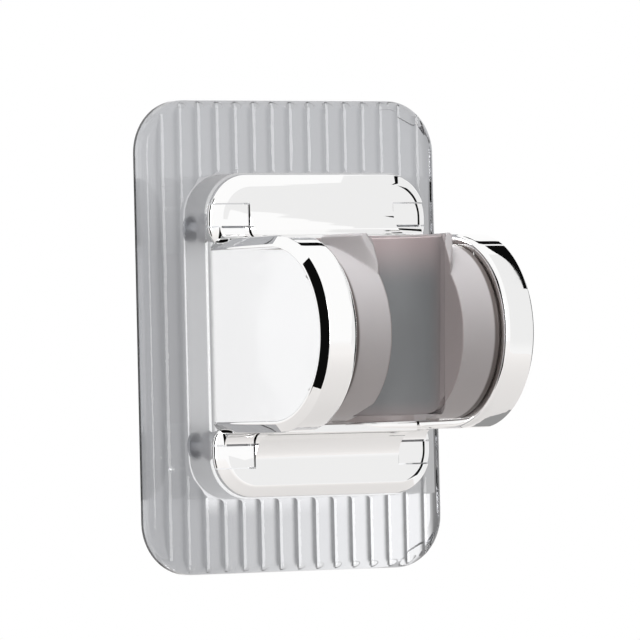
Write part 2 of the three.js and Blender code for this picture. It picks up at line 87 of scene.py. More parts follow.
def level_card(z, points):
    return [(x, y, z) for x, y in points]


def upright_card(y, across, upright):
    (left, right), (low, high) = across, upright
    return [(left, y, low), (right, y, low), (right, y, high), (left, y, high)]


DARK_CARDS = {
    "left_dark_card": side_card(-0.24, [(-0.13, -0.14), (0.05, -0.14), (0.05, 0.23), (-0.13, 0.23)]),
    "right_dark_card": side_card(0.24, [
        (-0.27, -0.13), (-0.05, -0.13), (-0.05, 0.02), (-0.06, 0.10), (-0.09, 0.16), (-0.27, 0.16)]),
    "upper_dark_card": level_card(0.55, [(0.1, 0.32), (0.9, 0.32), (0.9, 0.46), (0.1, 0.46)]),
    "wedge_dark_card": level_card(0.1, [
        (0.0849, 0.0027), (0.0820, -0.0097), (0.0804, -0.0201), (0.0799, -0.0277), (0.0798, -0.0353),
        (0.0801, -0.0437), (0.0809, -0.0533), (0.0822, -0.0630), (0.0843, -0.0743), (0.0875, -0.0866),
        (0.0920, -0.1005), (0.0977, -0.1153), (0.1056, -0.1331), (0.1120, -0.1331), (0.1040, -0.1130),
        (0.0985, -0.0956), (0.0920, -0.0531), (0.0930, -0.0100), (0.0950, 0.0027)]),
}
PALE_CARD = side_card(0.25, [
    (-0.400, -0.165), (-0.462, -0.090), (-0.462, 0.045), (-0.425, 0.12), (-0.355, 0.262), (-0.250, 0.345),
    (-0.118, 0.397), (0.020, 0.397), (0.020, -0.165)])
FLOOR_CARD = level_card(-0.16, [
    (0.129, 0.005), (0.131, 0.022), (0.134, 0.038), (0.137, 0.051), (0.143, 0.069), (0.156, 0.101),
    (0.189, 0.169), (0.294, 0.345), (0.410, 0.455), (0.260, 0.228), (0.195, 0.111), (0.150, 0.005)])
STRIP_LIGHT = [(-0.719, -0.695, -0.5), (-0.559, -0.829, -0.5), (-0.559, -0.829, 0.6), (-0.719, -0.695, 0.6)]
GREY_BACK_CARD = upright_card(1.2, (-1.6, 0.8), (-0.8, 1.4))
GREY_VEIL = upright_card(0.004, (-0.15, 0.2), (-0.12, 0.12))
GREY_SIDE_CARD = side_card(0.05, [(0.005, -0.034), (0.035, -0.034), (0.035, 0.034), (0.005, 0.034)])

# Glow of the cards
DARK_THROUGH = 0.5  # Level of a dark card to rays that have passed clear plastic
PALE_FOOT = (-0.165, -0.06)  # Heights between which the pale card grades
PALE_FOOT_LEVEL = 0.94
GREY_FADE = (0.5, 0.8)  # Places across the grey card where it runs out into white
VEIL_COLOUR = (0.97, 0.98, 1.0, 1.0)
VEIL_SHARE = 0.88
VEIL_LOW_LEVEL = 0.75  # Share of the veil's level below its upper part
VEIL_UPPER = (16.0 * MM, 36.0 * MM)  # Heights where the full upper part starts
VEIL_LOWER = (-38.0 * MM, -32.0 * MM)  # Heights where the left part gives way to the lower one
VEIL_LEFT_EDGE = (-15.4 * MM, -16.6 * MM)
VEIL_LOWER_FADE = (34.0 * MM, -30.0 * MM)

# Floor and lamps
FLOOR_REACH = 1.5
FLOOR_ROUGHNESS = 0.9
FLOOR_NEAR = (0.12, 0.55)  # Distances over which the shadow gives way to the glow
FLOOR_FAR = (0.3, 1.4)  # Distances over which the warm glow turns white
FLOOR_WARM = (1.0, 0.975, 0.96)
FLOOR_GLOW = (0.4, 0.86)  # Share of the glow near the object and away from it
FLOOR_FAR_GLOW = 0.14  # Share that is added farther away
LAMP_COLOUR = (0.95, 0.98, 1.0)
LAMP_AIM = (0.0, -0.03, 0.0)


# Sizes and colours

def length(name, description, millimetres):
    return bpy.props.FloatProperty(
        name=name, description=description, default=millimetres * MM, unit="LENGTH", precision=5
    )


def angle(name, description, degrees):
    return bpy.props.FloatProperty(
        name=name, description=description, default=math.radians(degrees), subtype="ANGLE"
    )


def colour(name, description, red, green, blue):
    return bpy.props.FloatVectorProperty(
        name=name, description=description, default=(red, green, blue), size=3, min=0.0, max=1.0,
        subtype="COLOR"
    )


def amount(name, description, default):
    return bpy.props.FloatProperty(name=name, description=description, default=default)


class HolderPlateSizes(bpy.types.PropertyGroup):
    """Sizes of the clear plate, its plinth and the adhesive sheet"""

    width: length("Plate width", "Width of the clear plate", (plate_high.x - plate_low.x) / MM)
    height: length("Plate height", "Height of the clear plate", (plate_high.z - plate_low.z) / MM)
    body: length("Plate body", "Thickness of the plate under the reeds", 4.1)
    corner: length("Plate corner", "Radius of the plate's corners", 11.0)
    front_round: length("Front rounding", "Rounding of the plate's front edge", 2.2)
    back_break: length("Back break", "Small bevel round the plate's back", 0.6)
    reed_count: bpy.props.IntProperty(name="Reeds", description="Number of upright reeds", default=16, min=4)
    reed_rise: length("Reed rise", "Height of a reed over the grooves", 0.9)
    plinth_rise: length("Plinth rise", "Height of the plinth over the reeds", 8.5)
    plinth_margin: length("Plinth margin", "Width of the plinth's edge round the feet", 0.35)
    plinth_edge: length("Plinth edge", "Rounding of the plinth's front edge", 0.5)
    plinth_fillet: length("Plinth fillet", "Fillet between the plinth and the reeds", 1.1)
    sheet_thickness: length("Sheet thickness", "Thickness of the adhesive sheet", 1.0)
    sheet_inset: length("Sheet inset", "Inset of the adhesive sheet from the plate's edge", 1.5)


class HolderMetalSizes(bpy.types.PropertyGroup):
    """Sizes of the bright feet and hoops"""

    foot_thickness: length("Foot thickness", "Thickness of a foot's flange", 2.5)
    foot_height: length("Foot height", "Height of a foot's flange", 15.6)
    foot_margin: length("Foot margin", "Width of a foot beyond the hoops", 0.6)
    foot_outer_corner: length("Outer corner", "Radius of a foot's corners away from the cradle", 9.0)
    foot_inner_corner: length("Inner corner", "Radius of a foot's corners next to the cradle", 5.0)
    foot_bevel_width: length("Foot bevel width", "Width of the bevel round a foot", 2.2)
    foot_bevel_depth: length("Foot bevel depth", "Depth of the bevel round a foot", 1.3)
    gusset_radius: length("Gusset radius", "Radius of the curve from a foot to its lip", 5.5)
    gusset_rise: length("Gusset rise", "Height of the lip over the hoops", 0.4)
    gusset_wall: length("Gusset wall", "Thickness of the lip", 2.2)
    gusset_reach: length("Gusset reach", "How far the lip stands out from the foot's face", 7.21)
    hoop_radius: length("Hoop radius", "Outer radius of the hoops", 20.0)
    hoop_wall: length("Hoop wall", "Thickness of the hoops", 2.4)
    hoop_width: length("Hoop width", "Width of a hoop's band", 8.0)
    hoop_standoff: length("Hoop standoff", "Distance from the feet to the tilt axis", 20.5)
    hoop_bevel_width: length("Hoop bevel width", "Width of a hoop's outer bevel", 1.2)
    hoop_bevel_depth: length("Hoop bevel depth", "Depth of a hoop's outer bevel", 1.9)
    hoop_inner_round: length("Hoop inner rounding", "Rounding of a hoop's edge next to the cradle", 1.0)
    tab_rise: length("Tab rise", "Height of a hoop's tab over its arm", 7.0)
    tab_setback: length("Tab setback", "How far a tab stands behind the foot's face", 0.4)
    tab_groove: length("Tab groove", "Width of the groove between a tab and its fillet", 0.45)
    tab_groove_depth: length("Tab groove depth", "Depth of the groove between a tab and its fillet", 1.7)
    tab_fillet: length("Tab fillet", "Fillet between a hoop's arm and its tab", 2.6)
    edge_round: length("Edge rounding", "Rounding of the bright edges", 0.45)


class HolderCradleSizes(bpy.types.PropertyGroup):
    """Sizes of the cradle and its liner"""

    barrel_length: length("Barrel length", "Length of the barrel between the hoops", 35.0)
    barrel_recess: length("Barrel recess", "How far the barrel lies inside the hoops' outside", 2.0)
    barrel_wall: length("Barrel wall", "Thickness of the barrel", 2.1)
    barrel_half_angle: angle("Barrel half angle", "Angle of the barrel up and down from the front", 84.0)
    collar_forward: length("Collar forward", "Distance of the collar's axis in front of the tilt axis", 3.6)
    collar_wall: length("Collar wall", "Thickness of the collar", 1.3)
    collar_drop: length("Collar drop", "Depth of the collar below the tilt axis", 18.3)
    collar_edge: length("Collar edge", "Small bevel on the collar's ends", 0.5)
    lean_start: length("Lean start", "Height at which the ears beside the gap start to lean back", 13.5)
    lean_angle: angle("Lean angle", "How far the ears beside the gap lean back", 24.0)
    bore_radius: length("Bore radius", "Radius of the bore at its top", 12.1)
    bore_taper: length("Bore taper", "How much narrower the bore is at its bottom", 1.0)
    bore_ledge: length("Bore ledge", "Height of the ledge under the liner", 1.4)
    mouth_width: length("Mouth width", "Width of the front gap", 17.3)
    jaw_wall: length("Jaw wall", "Thickness of the jaws beside the gap", 1.7)
    liner_wall: length("Liner wall", "Thickness of the soft liner", 1.0)
    edge_round: length("Edge rounding", "Rounding of the cradle's edges", 0.6)


class HolderRunSizes(bpy.types.PropertyGroup):
    """Sizes of the tilting run and the screws"""

    lug_depth: length("Lug depth", "Depth of a hoop's lugs", 2.65)
    lug_start: angle("Lug start", "Angle at which a lug starts", 51.5)
    lug_end: angle("Lug end", "Angle at which a lug ends", 60.0)
    lug_rise: length("Lug rise", "Height of a lug over the hoop's inside", 3.2)
    tongue_wall: length("Tongue wall", "Thickness of the cradle's tongues", 1.9)
    tongue_half_angle: angle("Tongue half angle", "Angle of a tongue up and down from the front", 25.9)
    guide_wall: length("Guide wall", "Thickness of the guides", 1.9)
    guide_web: length("Guide web", "Thickness of a guide's web", 1.2)
    guide_edge: length("Guide edge", "Rounding of the guides' edges", 0.2)
    pad_floor: length("Pad floor", "Thickness left under a friction pad", 0.6)
    pad_half_angle: angle("Pad half angle", "Angle of a pad's pocket up and down from the front", 10.1)
    run_clearance: length("Running clearance", "Gap beside the cradle's tongues", 0.3)
    side_clearance: length("Side clearance", "Gap between the barrel and a hoop", 0.35)
    seat_clearance: length("Seat clearance", "Gap round the seated pieces", 0.3)
    liner_clearance: length("Liner clearance", "Gap round the soft pieces", 0.15)
    screw_radius: length("Screw radius", "Radius of a fixing screw's shank", 1.4)
    screw_head_radius: length("Screw head radius", "Radius of a fixing screw's head", 2.7)
    screw_head_height: length("Screw head height", "Height of a fixing screw's head", 2.2)
    screw_head_sink: length("Screw head sink", "Depth of a head behind the plate's back", 0.8)
    screw_spread: length("Screw spread", "Distance between a foot's two screws", 18.0)
    boss_radius: length("Boss radius", "Radius of the bosses that take the screws", 3.0)
    boss_length: length("Boss length", "Length of the bosses", 6.0)
    guide_screw_radius: length("Guide screw radius", "Radius of a guide screw's shank", 0.8)
    guide_screw_head_radius: length("Guide screw head", "Radius of a guide screw's head", 1.5)
    guide_screw_head_height: length("Guide screw head height", "Height of a guide screw's head", 1.1)


class HolderColours(bpy.types.PropertyGroup):
    """Colours of the finishes"""

    clear_plastic: colour("Clear plastic", "Tint of the clear plate", 0.985, 0.986, 0.99)
    # Painted shade: the reeds and the plinth's sides pass darker light than the rest of the clear moulding,
    # in place of the shade seen through them.
    reed_painted_shade: colour("Reed tint", "Tint of the light that passes the reeds", 0.86, 0.865, 0.89)
    side_painted_shade: colour("Side tint", "Tint of the light that passes the plinth's sides", 0.60, 0.605, 0.622)
    plating: colour("Bright plating", "Colour of the bright plating", 0.985, 0.983, 0.98)
    bare_back: colour("Bare back", "Colour of the unplated backs of the bright pieces", 0.90, 0.905, 0.92)
    mauve_plastic: colour("Mauve plastic", "Colour of the cradle", 0.50, 0.468, 0.470)
    mauve_shade: colour("Mauve shade", "Deeper colour of the cradle", 0.445, 0.412, 0.410)
    soft_rubber: colour("Soft rubber", "Colour of the liner and pads", 0.275, 0.28, 0.285)
    # Painted shade: the cradle's faces beside the gap are darker because they stand in shade.
    jaw_side_painted_shade: colour("Jaw side", "Colour of the cradle's faces beside the gap", 0.395, 0.345, 0.342)
    # Painted shadow: near black where the barrel's ends meet the gaps beside the hoops.
    barrel_end_painted_shadow: colour("Barrel rim", "Colour of the barrel's ends next to the hoops", 0.10, 0.08, 0.074)
    liner_top: colour("Liner top", "Colour of the liner near its top edge", 0.50, 0.41, 0.41)
    # Painted shade: the cradle's tone, darkened as it stands in shade near the liner's foot and its front.
    liner_painted_shade: colour("Liner edge", "Colour of the liner near its foot and its front", 0.34, 0.295, 0.295)
    screw_steel: colour("Screw steel", "Colour of the screws", 0.76, 0.77, 0.79)
    slide_plastic: colour("Slide plastic", "Colour of the guides", 0.78, 0.78, 0.75)
    adhesive_gel: colour("Adhesive gel", "Tint of the adhesive sheet", 0.985, 0.986, 0.99)
    floor: colour("Floor", "Colour of the floor", 0.52, 0.495, 0.48)


class HolderStage(bpy.types.PropertyGroup):
    """Stage: camera, lamps and cards"""

    lens: amount("Lens", "Focal length in millimetres", 403.8)
    floor_depth: length("Floor depth", "Distance of the floor below the plate's middle", 170.0)
    fill: amount("Fill", "Light from all round on matt surfaces", 0.24)
    top_lamp: amount("Top lamp", "Power of the lamp above, in watts", 14.0)
    front_lamp: amount("Front lamp", "Power of the front lamp, in watts", 4.0)
    dark_card: amount("Dark card", "Brightness of the dark cards", 0.004)
    grey_card: amount("Grey card", "Brightness of the grey card behind", 0.22)
    pale_card: amount("Pale card", "Brightness of the pale card", 0.87)
    floor_card: amount("Floor card", "Brightness of the grey card on the floor", 0.3)
    strip_light: amount("Strip light", "Brightness of the strip in front", 10.0)
    veil: amount("Veil", "Brightness of the grey veil behind the plate", 0.50)


class HolderSettings(bpy.types.PropertyGroup):
    """All sizes, colours and stage settings of the holder"""

    plate: bpy.props.PointerProperty(type=HolderPlateSizes)
    metal: bpy.props.PointerProperty(type=HolderMetalSizes)
    cradle: bpy.props.PointerProperty(type=HolderCradleSizes)
    run: bpy.props.PointerProperty(type=HolderRunSizes)
    colours: bpy.props.PointerProperty(type=HolderColours)
    stage: bpy.props.PointerProperty(type=HolderStage)


def layout():
    """Planes along Y, stations along X, radii round the tilt axis and heights, in metres."""
    holder = bpy.context.scene.holder
    plate, metal, cradle, run = holder.plate, holder.metal, holder.cradle, holder.run
    at = SimpleNamespace(plate=plate, metal=metal, cradle=cradle, run=run)
    at.plate_back = -plate.sheet_thickness
    at.reed_valley = at.plate_back - plate.body
    at.reed_crest = at.reed_valley - plate.reed_rise
    at.plinth_front = at.reed_crest - plate.plinth_rise
    at.metal_back = at.plinth_front - SEAT_GAP
    at.foot_front = at.plinth_front - metal.foot_thickness
    at.axis_y = at.foot_front - metal.hoop_standoff
    at.head_seat = at.plate_back - run.screw_head_sink - run.screw_head_height
    at.barrel_end = cradle.barrel_length / 2
    at.hoop_inner_face = at.barrel_end + run.side_clearance
    at.hoop_outer_face = at.hoop_inner_face + metal.hoop_width
    at.hoop_middle = (at.hoop_inner_face + at.hoop_outer_face) / 2
    at.lug_face = at.hoop_inner_face + run.lug_depth
    at.web_face = at.lug_face + run.guide_web
    at.foot_end = at.hoop_outer_face + metal.foot_margin
    at.hoop_bore = metal.hoop_radius - metal.hoop_wall
    at.barrel_radius = metal.hoop_radius - cradle.barrel_recess
    at.tongue_outer = at.hoop_bore - run.run_clearance
    at.tongue_inner = at.tongue_outer - run.tongue_wall
    at.guide_outer = at.tongue_inner - run.run_clearance
    at.guide_inner = at.guide_outer - run.guide_wall
    at.lug_inner = at.hoop_bore - run.lug_rise
    at.lug_middle = (run.lug_start + run.lug_end) / 2
    at.lug_radius = (at.lug_inner + at.hoop_bore) / 2
    at.foot_low = at.hoop_bore
    at.foot_high = at.foot_low + metal.foot_height
    at.tab_high = metal.hoop_radius + metal.tab_rise
    at.foot_screws = [(run.screw_spread / 2, (at.foot_low + at.foot_high) / 2),
                      (-run.screw_spread / 2, (at.foot_low + at.foot_high) / 2)]
    at.hoop_screws = [(at.hoop_middle, (at.foot_low + at.tab_high) / 2),
                      (at.hoop_middle, -(at.foot_low + at.tab_high) / 2)]
    at.collar_top = metal.hoop_radius
    at.collar_y = at.axis_y - cradle.collar_forward
    return at


# Mesh helpers

def steps(low, high, count):
    return [low + (high - low) * i / count for i in range(count + 1)]


def mesh_object(name, points, faces):
    mesh = bpy.data.meshes.new(name)
    mesh.from_pydata(points, [], faces)
    work = bmesh.new()
    work.from_mesh(mesh)
    bmesh.ops.remove_doubles(work, verts=work.verts, dist=WELD)
    bmesh.ops.recalc_face_normals(work, faces=work.faces)
    work.to_mesh(mesh)
    work.free()
    made = bpy.data.objects.new(name, mesh)
    bpy.context.scene.collection.objects.link(made)
    return made


def loft(name, rings, closed=False):
    """Solid through rings that have as many points each. A closed loft joins its last ring to its first."""
    count = len(rings[0])
    points = [point for ring in rings for point in ring]
    faces = []
    for here in range(len(rings) if closed else len(rings) - 1):
        low, high = here * count, ((here + 1) % len(rings)) * count
        for i in range(count):
            j = (i + 1) % count
            faces.append((low + i, low + j, high + j, high + i))
    if not closed:
        faces.append(tuple(range(count)))
        faces.append(tuple(range(len(points) - count, len(points))))
    return mesh_object(name, points, faces)


def block(name, across, depth, upright):
    (near, far), (low, high) = depth, upright
    return loft(name, [[(x, near, low), (x, far, low), (x, far, high), (x, near, high)] for x in across])


def drawn_along_x(name, outline, span):
    return loft(name, [[(x, y, z) for y, z in outline] for x in span])


def ring_part(name, axis_y, radii, angles, span, count=64):
    """Part of a ring round the tilt axis. Angles rise from 0 at the front to a quarter turn at the top."""
    corners = [(span[0], radii[0]), (span[1], radii[0]), (span[1], radii[1]), (span[0], radii[1])]
    rings = [[(x, axis_y - r * math.cos(turn), r * math.sin(turn)) for x, r in corners]
             for turn in steps(angles[0], angles[1], count)]
    return loft(name, rings)


def turned(name, profile, sides=96):
    """Closed profile of radii and heights turned round the Z axis."""
    turns = [2 * math.pi * i / sides for i in range(sides)]
    return loft(name, [[(r * math.cos(turn), r * math.sin(turn), z) for r, z in profile] for turn in turns],
                closed=True)


def rounded_outline(across, upright, corners, inset, count=14):
    """Rectangle with round corners, as (x, z) points counter-clockwise from the lower left corner."""
    (x0, x1), (z0, z1) = across, upright
    places = [(x0, z0, 1, 1, 180), (x1, z0, -1, 1, 270), (x1, z1, -1, -1, 0), (x0, z1, 1, -1, 90)]
    points = []
    for (x, z, side, level, start), radius in zip(places, corners):
        for turn in steps(math.radians(start), math.radians(start + 90), count):
            points.append((x + side * radius + (radius - inset) * math.cos(turn),
                           z + level * radius + (radius - inset) * math.sin(turn)))
    return points


def plate_loft(name, across, upright, corners, profile, count):
    """Plate with round corners whose outline is set in by its own amount at each depth of the profile."""
    return loft(name, [[(x, y, z) for x, z in rounded_outline(across, upright, corners, inset, count)]
                       for y, inset in profile])


def rounded_path(points, radius, closed=False, count=4):
    """Path whose corners are eased into short curves that start and end a given length from them."""
    path = []
    for i, corner in enumerate(points):
        if not closed and i in (0, len(points) - 1):
            path.append(tuple(corner))
            continue
        middle, before, after = Vector(corner), Vector(points[i - 1]), Vector(points[(i + 1) % len(points)])
        start = middle + (before - middle).normalized() * radius
        end = middle + (after - middle).normalized() * radius
        for share in steps(0.0, 1.0, count):
            path.append(tuple(start * (1 - share) ** 2 + middle * 2 * share * (1 - share) + end * share ** 2))
    return path


def rod_along_y(name, radius, span, x, z, sides=40):
    turns = [2 * math.pi * i / sides for i in range(sides)]
    return loft(name, [[(x + radius * math.cos(turn), y, z + radius * math.sin(turn)) for turn in turns]
                       for y in span])


def settle(body):
    """Replaces a body's mesh by the one that its modifiers make."""
    shaped = body.evaluated_get(bpy.context.evaluated_depsgraph_get())
    mesh = bpy.data.meshes.new_from_object(shaped)
    old = body.data
    body.modifiers.clear()
    body.data = mesh
    mesh.name = body.name
    bpy.data.meshes.remove(old)
    if not mesh.polygons:
        raise RuntimeError(f"{body.name} has no faces left")
    return body


def combine(body, operation, *tools):
    for tool in tools:
        modifier = body.modifiers.new(operation, "BOOLEAN")
        modifier.operation = operation
        modifier.solver = "MANIFOLD"
        modifier.object = tool
        settle(body)
        bpy.data.meshes.remove(tool.data)
    return body


def smooth(body, limit=32.0, weighted=True):
    body.data.shade_smooth()
    body.data.set_sharp_from_angle(angle=math.radians(limit))
    if weighted:
        modifier = body.modifiers.new("normals", "WEIGHTED_NORMAL")
        modifier.mode = "FACE_AREA_WITH_ANGLE"
        modifier.keep_sharp = True
        settle(body)
    return body


def turned_half(body):
    """Turns a body half round the Y axis, which makes the lower or left piece of a pair."""
    body.data.transform(Matrix.Rotation(math.pi, 4, "Y"))
    return body


def dress(piece, material, body, slot, *nodes):
    """Gives a finished piece its material and its place in the frame, and hides the solids that it stands
    for.
    """
    piece.data.materials.clear()
    piece.data.materials.append(material)
    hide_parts(*nodes)
    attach(piece, body)
    return piece


# Shader nodes

COLOUR_A, COLOUR_B, COLOUR_RESULT = 6, 7, 2  # Sockets of a mix node that take and give colours


def feed(tree, value, socket):
    """Links a socket to another one, or sets it to a plain value."""
    if isinstance(value, bpy.types.NodeSocket):
        tree.links.new(value, socket)
    else:
        socket.default_value = value


def add_math(tree, operation, *values):
    node = tree.nodes.new("ShaderNodeMath")
    node.operation = operation
    for value, socket in zip(values, node.inputs):
        feed(tree, value, socket)
    return node.outputs["Value"]


def add_noise(tree, scale, detail):
    place = tree.nodes.new("ShaderNodeTexCoord")
    noise = tree.nodes.new("ShaderNodeTexNoise")
    noise.inputs["Detail"].default_value = detail
    tree.links.new(place.outputs["Object"], noise.inputs["Vector"])
    feed(tree, scale, noise.inputs["Scale"])
    return noise.outputs["Fac"]


def add_range(tree, value, low, high):
    """Maps a value of 0 to 1 onto a range given by numbers or sockets."""
    node = tree.nodes.new("ShaderNodeMapRange")
    for label, end in (("Value", value), ("To Min", low), ("To Max", high)):
        feed(tree, end, node.inputs[label])
    return node.outputs["Result"]


def add_step(tree, value, low, high):
    """0 below a level and 1 above another one, with a soft change between them."""
    node = tree.nodes.new("ShaderNodeMapRange")
    node.interpolation_type = "SMOOTHSTEP"
    for label, end in (("Value", value), ("From Min", low), ("From Max", high)):
        feed(tree, end, node.inputs[label])
    return node.outputs["Result"]


def add_mix(tree, share, first, second):
    """Mix of two colours, each a socket or a plain colour."""
    mix = tree.nodes.new("ShaderNodeMix")
    mix.data_type = "RGBA"
    tree.links.new(share, mix.inputs["Factor"])
    for index, shade in ((COLOUR_A, first), (COLOUR_B, second)):
        feed(tree, shade if isinstance(shade, bpy.types.NodeSocket) else (*shade, 1.0), mix.inputs[index])
    return mix.outputs[COLOUR_RESULT]


def add_place(tree):
    """X, Y and Z of a point in the piece's own frame."""
    place = tree.nodes.new("ShaderNodeTexCoord")
    split = tree.nodes.new("ShaderNodeSeparateXYZ")
    tree.links.new(place.outputs["Object"], split.inputs["Vector"])
    return split.outputs


def add_mask(tree, value, plane, span):
    """Step that sets in at a distance from a plane of the piece and is full at another one."""
    return add_step(tree, value, plane + span[0], plane + span[1])


# Shader groups

def made_once(kind, name):
    """Hands out the group or material of a name, and builds it where there is none yet."""
    def wrap(build):
        def fetch():
            store = getattr(bpy.data, kind)
            return store[name] if name in store else build(name)
        return fetch
    return wrap


def new_group(name, inputs, outputs):
    """Empty group with its named inputs and their values, and its named outputs."""
    group = bpy.data.node_groups.new(name, "ShaderNodeTree")
    for label, value in inputs.items():
        kind = "NodeSocketColor" if isinstance(value, tuple) else "NodeSocketFloat"
        group.interface.new_socket(label, in_out="INPUT", socket_type=kind).default_value = value
    for label in outputs:
        kind = "NodeSocketColor" if label == "Colour" else "NodeSocketFloat"
        group.interface.new_socket(label, in_out="OUTPUT", socket_type=kind)
    return group, group.nodes.new("NodeGroupInput").outputs, group.nodes.new("NodeGroupOutput").inputs


@made_once("node_groups", "Moulded Grain")
def moulded_grain(name):
    """Fine grain of a moulded surface: its roughness and the height of its pores."""
    inputs = {"Scale": 2500.0, "Smooth": 0.3, "Rough": 0.5}
    group, entry, result = new_group(name, inputs, ("Roughness", "Height"))
    pores = add_noise(group, entry["Scale"], detail=3.0)
    drift = add_noise(group, 90.0, detail=2.0)
    group.links.new(add_range(group, drift, entry["Smooth"], entry["Rough"]), result["Roughness"])
    group.links.new(pores, result["Height"])
    return group


@made_once("node_groups", "Handling Marks")
def handling_marks(name):
    """Faint wipe marks and haze on a polished surface."""
    inputs = {"Scale": 60.0, "Clean": 0.02, "Hazy": 0.06}
    group, entry, result = new_group(name, inputs, ("Roughness", "Height"))
    haze = add_step(group, add_noise(group, entry["Scale"], detail=4.0), low=0.45, high=0.75)
    ripple = add_noise(group, 140.0, detail=1.0)
    group.links.new(add_range(group, haze, entry["Clean"], entry["Hazy"]), result["Roughness"])
    group.links.new(ripple, result["Height"])
    return group


@made_once("node_groups", "Colour Drift")
def colour_drift(name):
    """Slow change between two shades of one colour."""
    inputs = {"Colour": (0.5, 0.5, 0.5, 1.0), "Shade": (0.4, 0.4, 0.4, 1.0), "Scale": 120.0}
    group, entry, result = new_group(name, inputs, ("Colour",))
    drift = add_noise(group, entry["Scale"], detail=3.0)
    group.links.new(add_mix(group, drift, entry["Colour"], entry["Shade"]), result["Colour"])
    return group


def place_group(tree, group, **values):
    node = tree.nodes.new("ShaderNodeGroup")
    node.node_tree = group
    for label, value in values.items():
        node.inputs[label].default_value = value
    return node.outputs


# Finishes

CLEAR_IOR = 1.27  # Below that of real plastic, so that few rays are lost inside
GEL_IOR = 1.43
SIDE_HAZE = 0.4  # Roughness that the plinth's sides add to the polish
RIPPLE = 0.4 * MM  # Height of the ripple in a polished surface
EDGE_SAMPLES = 6

# Where a tone or a painted shade sets in and where it is full, from a plane of the piece
SIDE_START = (0.2 * MM, 0.6 * MM)  # Behind the plinth's front
REED_START = (-0.8 * MM, -0.2 * MM)  # In front of the reeds' crests
BACK_START = (-1.0 * MM, -0.7 * MM)  # In front of the plate's back
GAP_SHADE_END = (0.05 * MM, 0.25 * MM)  # Beside the cradle's gap
BARREL_SHADOW_START = (-1.4 * MM, -0.8 * MM)  # Before the barrel's ends
LINER_TOP_START = (-11.0 * MM, 0.0)  # Below the collar's top
LINER_FOOT_SHADE_END = (0.0, 5.0 * MM)  # Above the collar's foot
LINER_FRONT_SHADE_END = (-5.5 * MM, 1.5 * MM)  # Before and behind the collar's axis


def new_material(name, **values):
    """Material whose shader has plain values on its own sockets, which are named with _ for a space."""
    material = bpy.data.materials.new(name)
    material.use_nodes = True
    shader = material.node_tree.nodes["Principled BSDF"]
    for label, value in values.items():
        shader.inputs[label.replace("_", " ")].default_value = value
    return material, material.node_tree, shader.inputs


def add_bump(tree, shader, height, strength, distance, edge=0.0):
    """Fine relief of a surface. Its sharp edges look rounded where an edge radius is given."""
    bump = tree.nodes.new("ShaderNodeBump")
    bump.inputs["Strength"].default_value = strength
    bump.inputs["Distance"].default_value = distance
    tree.links.new(height, bump.inputs["Height"])
    tree.links.new(bump.outputs["Normal"], shader["Normal"])
    if edge:
        bevel = tree.nodes.new("ShaderNodeBevel")
        bevel.samples = EDGE_SAMPLES
        bevel.inputs["Radius"].default_value = edge
        tree.links.new(bevel.outputs["Normal"], bump.inputs["Normal"])


def add_grain(tree, shader, scale, finest, roughest, relief, pore, edge=0.0):
    """Moulded grain: its roughness from the finest to the roughest spot, and pores of a given depth."""
    grain = place_group(tree, moulded_grain(), Scale=scale, Smooth=finest, Rough=roughest)
    tree.links.new(grain["Roughness"], shader["Roughness"])
    add_bump(tree, shader, grain["Height"], relief, pore, edge)


def add_marks(tree, shader, scale, clean, hazy, relief):
    """Ripple and wipe marks of a polished surface. The marks' roughness is handed back."""
    marks = place_group(tree, handling_marks(), Scale=scale, Clean=clean, Hazy=hazy)
    add_bump(tree, shader, marks["Height"], relief, RIPPLE)
    return marks["Roughness"]


def add_drift(tree, first, second, scale):
    drift = place_group(tree, colour_drift(), Colour=(*first, 1.0), Shade=(*second, 1.0), Scale=scale)
    return drift["Colour"]


def darker(shade, share):
    return tuple(value * share for value in shade)


def paint(tree, shader, shade, share, scale):
    """One colour that drifts to a darker share of itself."""
    tree.links.new(add_drift(tree, shade, darker(shade, share), scale), shader["Base Color"])


@made_once("materials", "Clear Plastic")
def clear_plastic(name):
    """Clear moulding: polished, with a haze on the plinth's sides, and painted shade there and in the reeds,
    which darkens the light that passes them.
    """
    colours, at = bpy.context.scene.holder.colours, layout()
    material, tree, shader = new_material(name, Transmission_Weight=1.0, IOR=CLEAR_IOR)
    polish = add_marks(tree, shader, scale=45.0, clean=0.0, hazy=0.03, relief=0.03)
    clear = add_drift(tree, colours.clear_plastic, darker(colours.clear_plastic, 0.985), scale=30.0)
    depth = add_place(tree)["Y"]
    side = add_mask(tree, depth, at.plinth_front, SIDE_START)
    reed = add_mask(tree, depth, at.reed_crest, REED_START)
    back = add_mask(tree, depth, at.plate_back, BACK_START)
    # Painted shade on the plinth's sides and in the reeds; the plate's front and back stay clear.
    shade = add_mix(tree, side, clear, colours.side_painted_shade)
    shade = add_mix(tree, reed, shade, colours.reed_painted_shade)
    shade = add_mix(tree, back, shade, clear)
    tree.links.new(shade, shader["Base Color"])
    haze = add_math(tree, "SUBTRACT", side, reed)
    tree.links.new(add_math(tree, "MULTIPLY_ADD", haze, SIDE_HAZE, polish), shader["Roughness"])
    return material


@made_once("materials", "Adhesive Gel")
def adhesive_gel(name):
    material, tree, shader = new_material(name, Transmission_Weight=1.0, IOR=GEL_IOR)
    add_grain(tree, shader, scale=700.0, finest=0.03, roughest=0.12, relief=0.06, pore=0.3 * MM)
    paint(tree, shader, bpy.context.scene.holder.colours.adhesive_gel, share=0.985, scale=60.0)
    return material


@made_once("materials", "Bright Plating")
def bright_plating(name):
    material, tree, shader = new_material(name, Metallic=1.0)
    polish = add_marks(tree, shader, scale=70.0, clean=0.012, hazy=0.05, relief=0.002)
    tree.links.new(polish, shader["Roughness"])
    paint(tree, shader, bpy.context.scene.holder.colours.plating, share=0.98, scale=40.0)
    return material


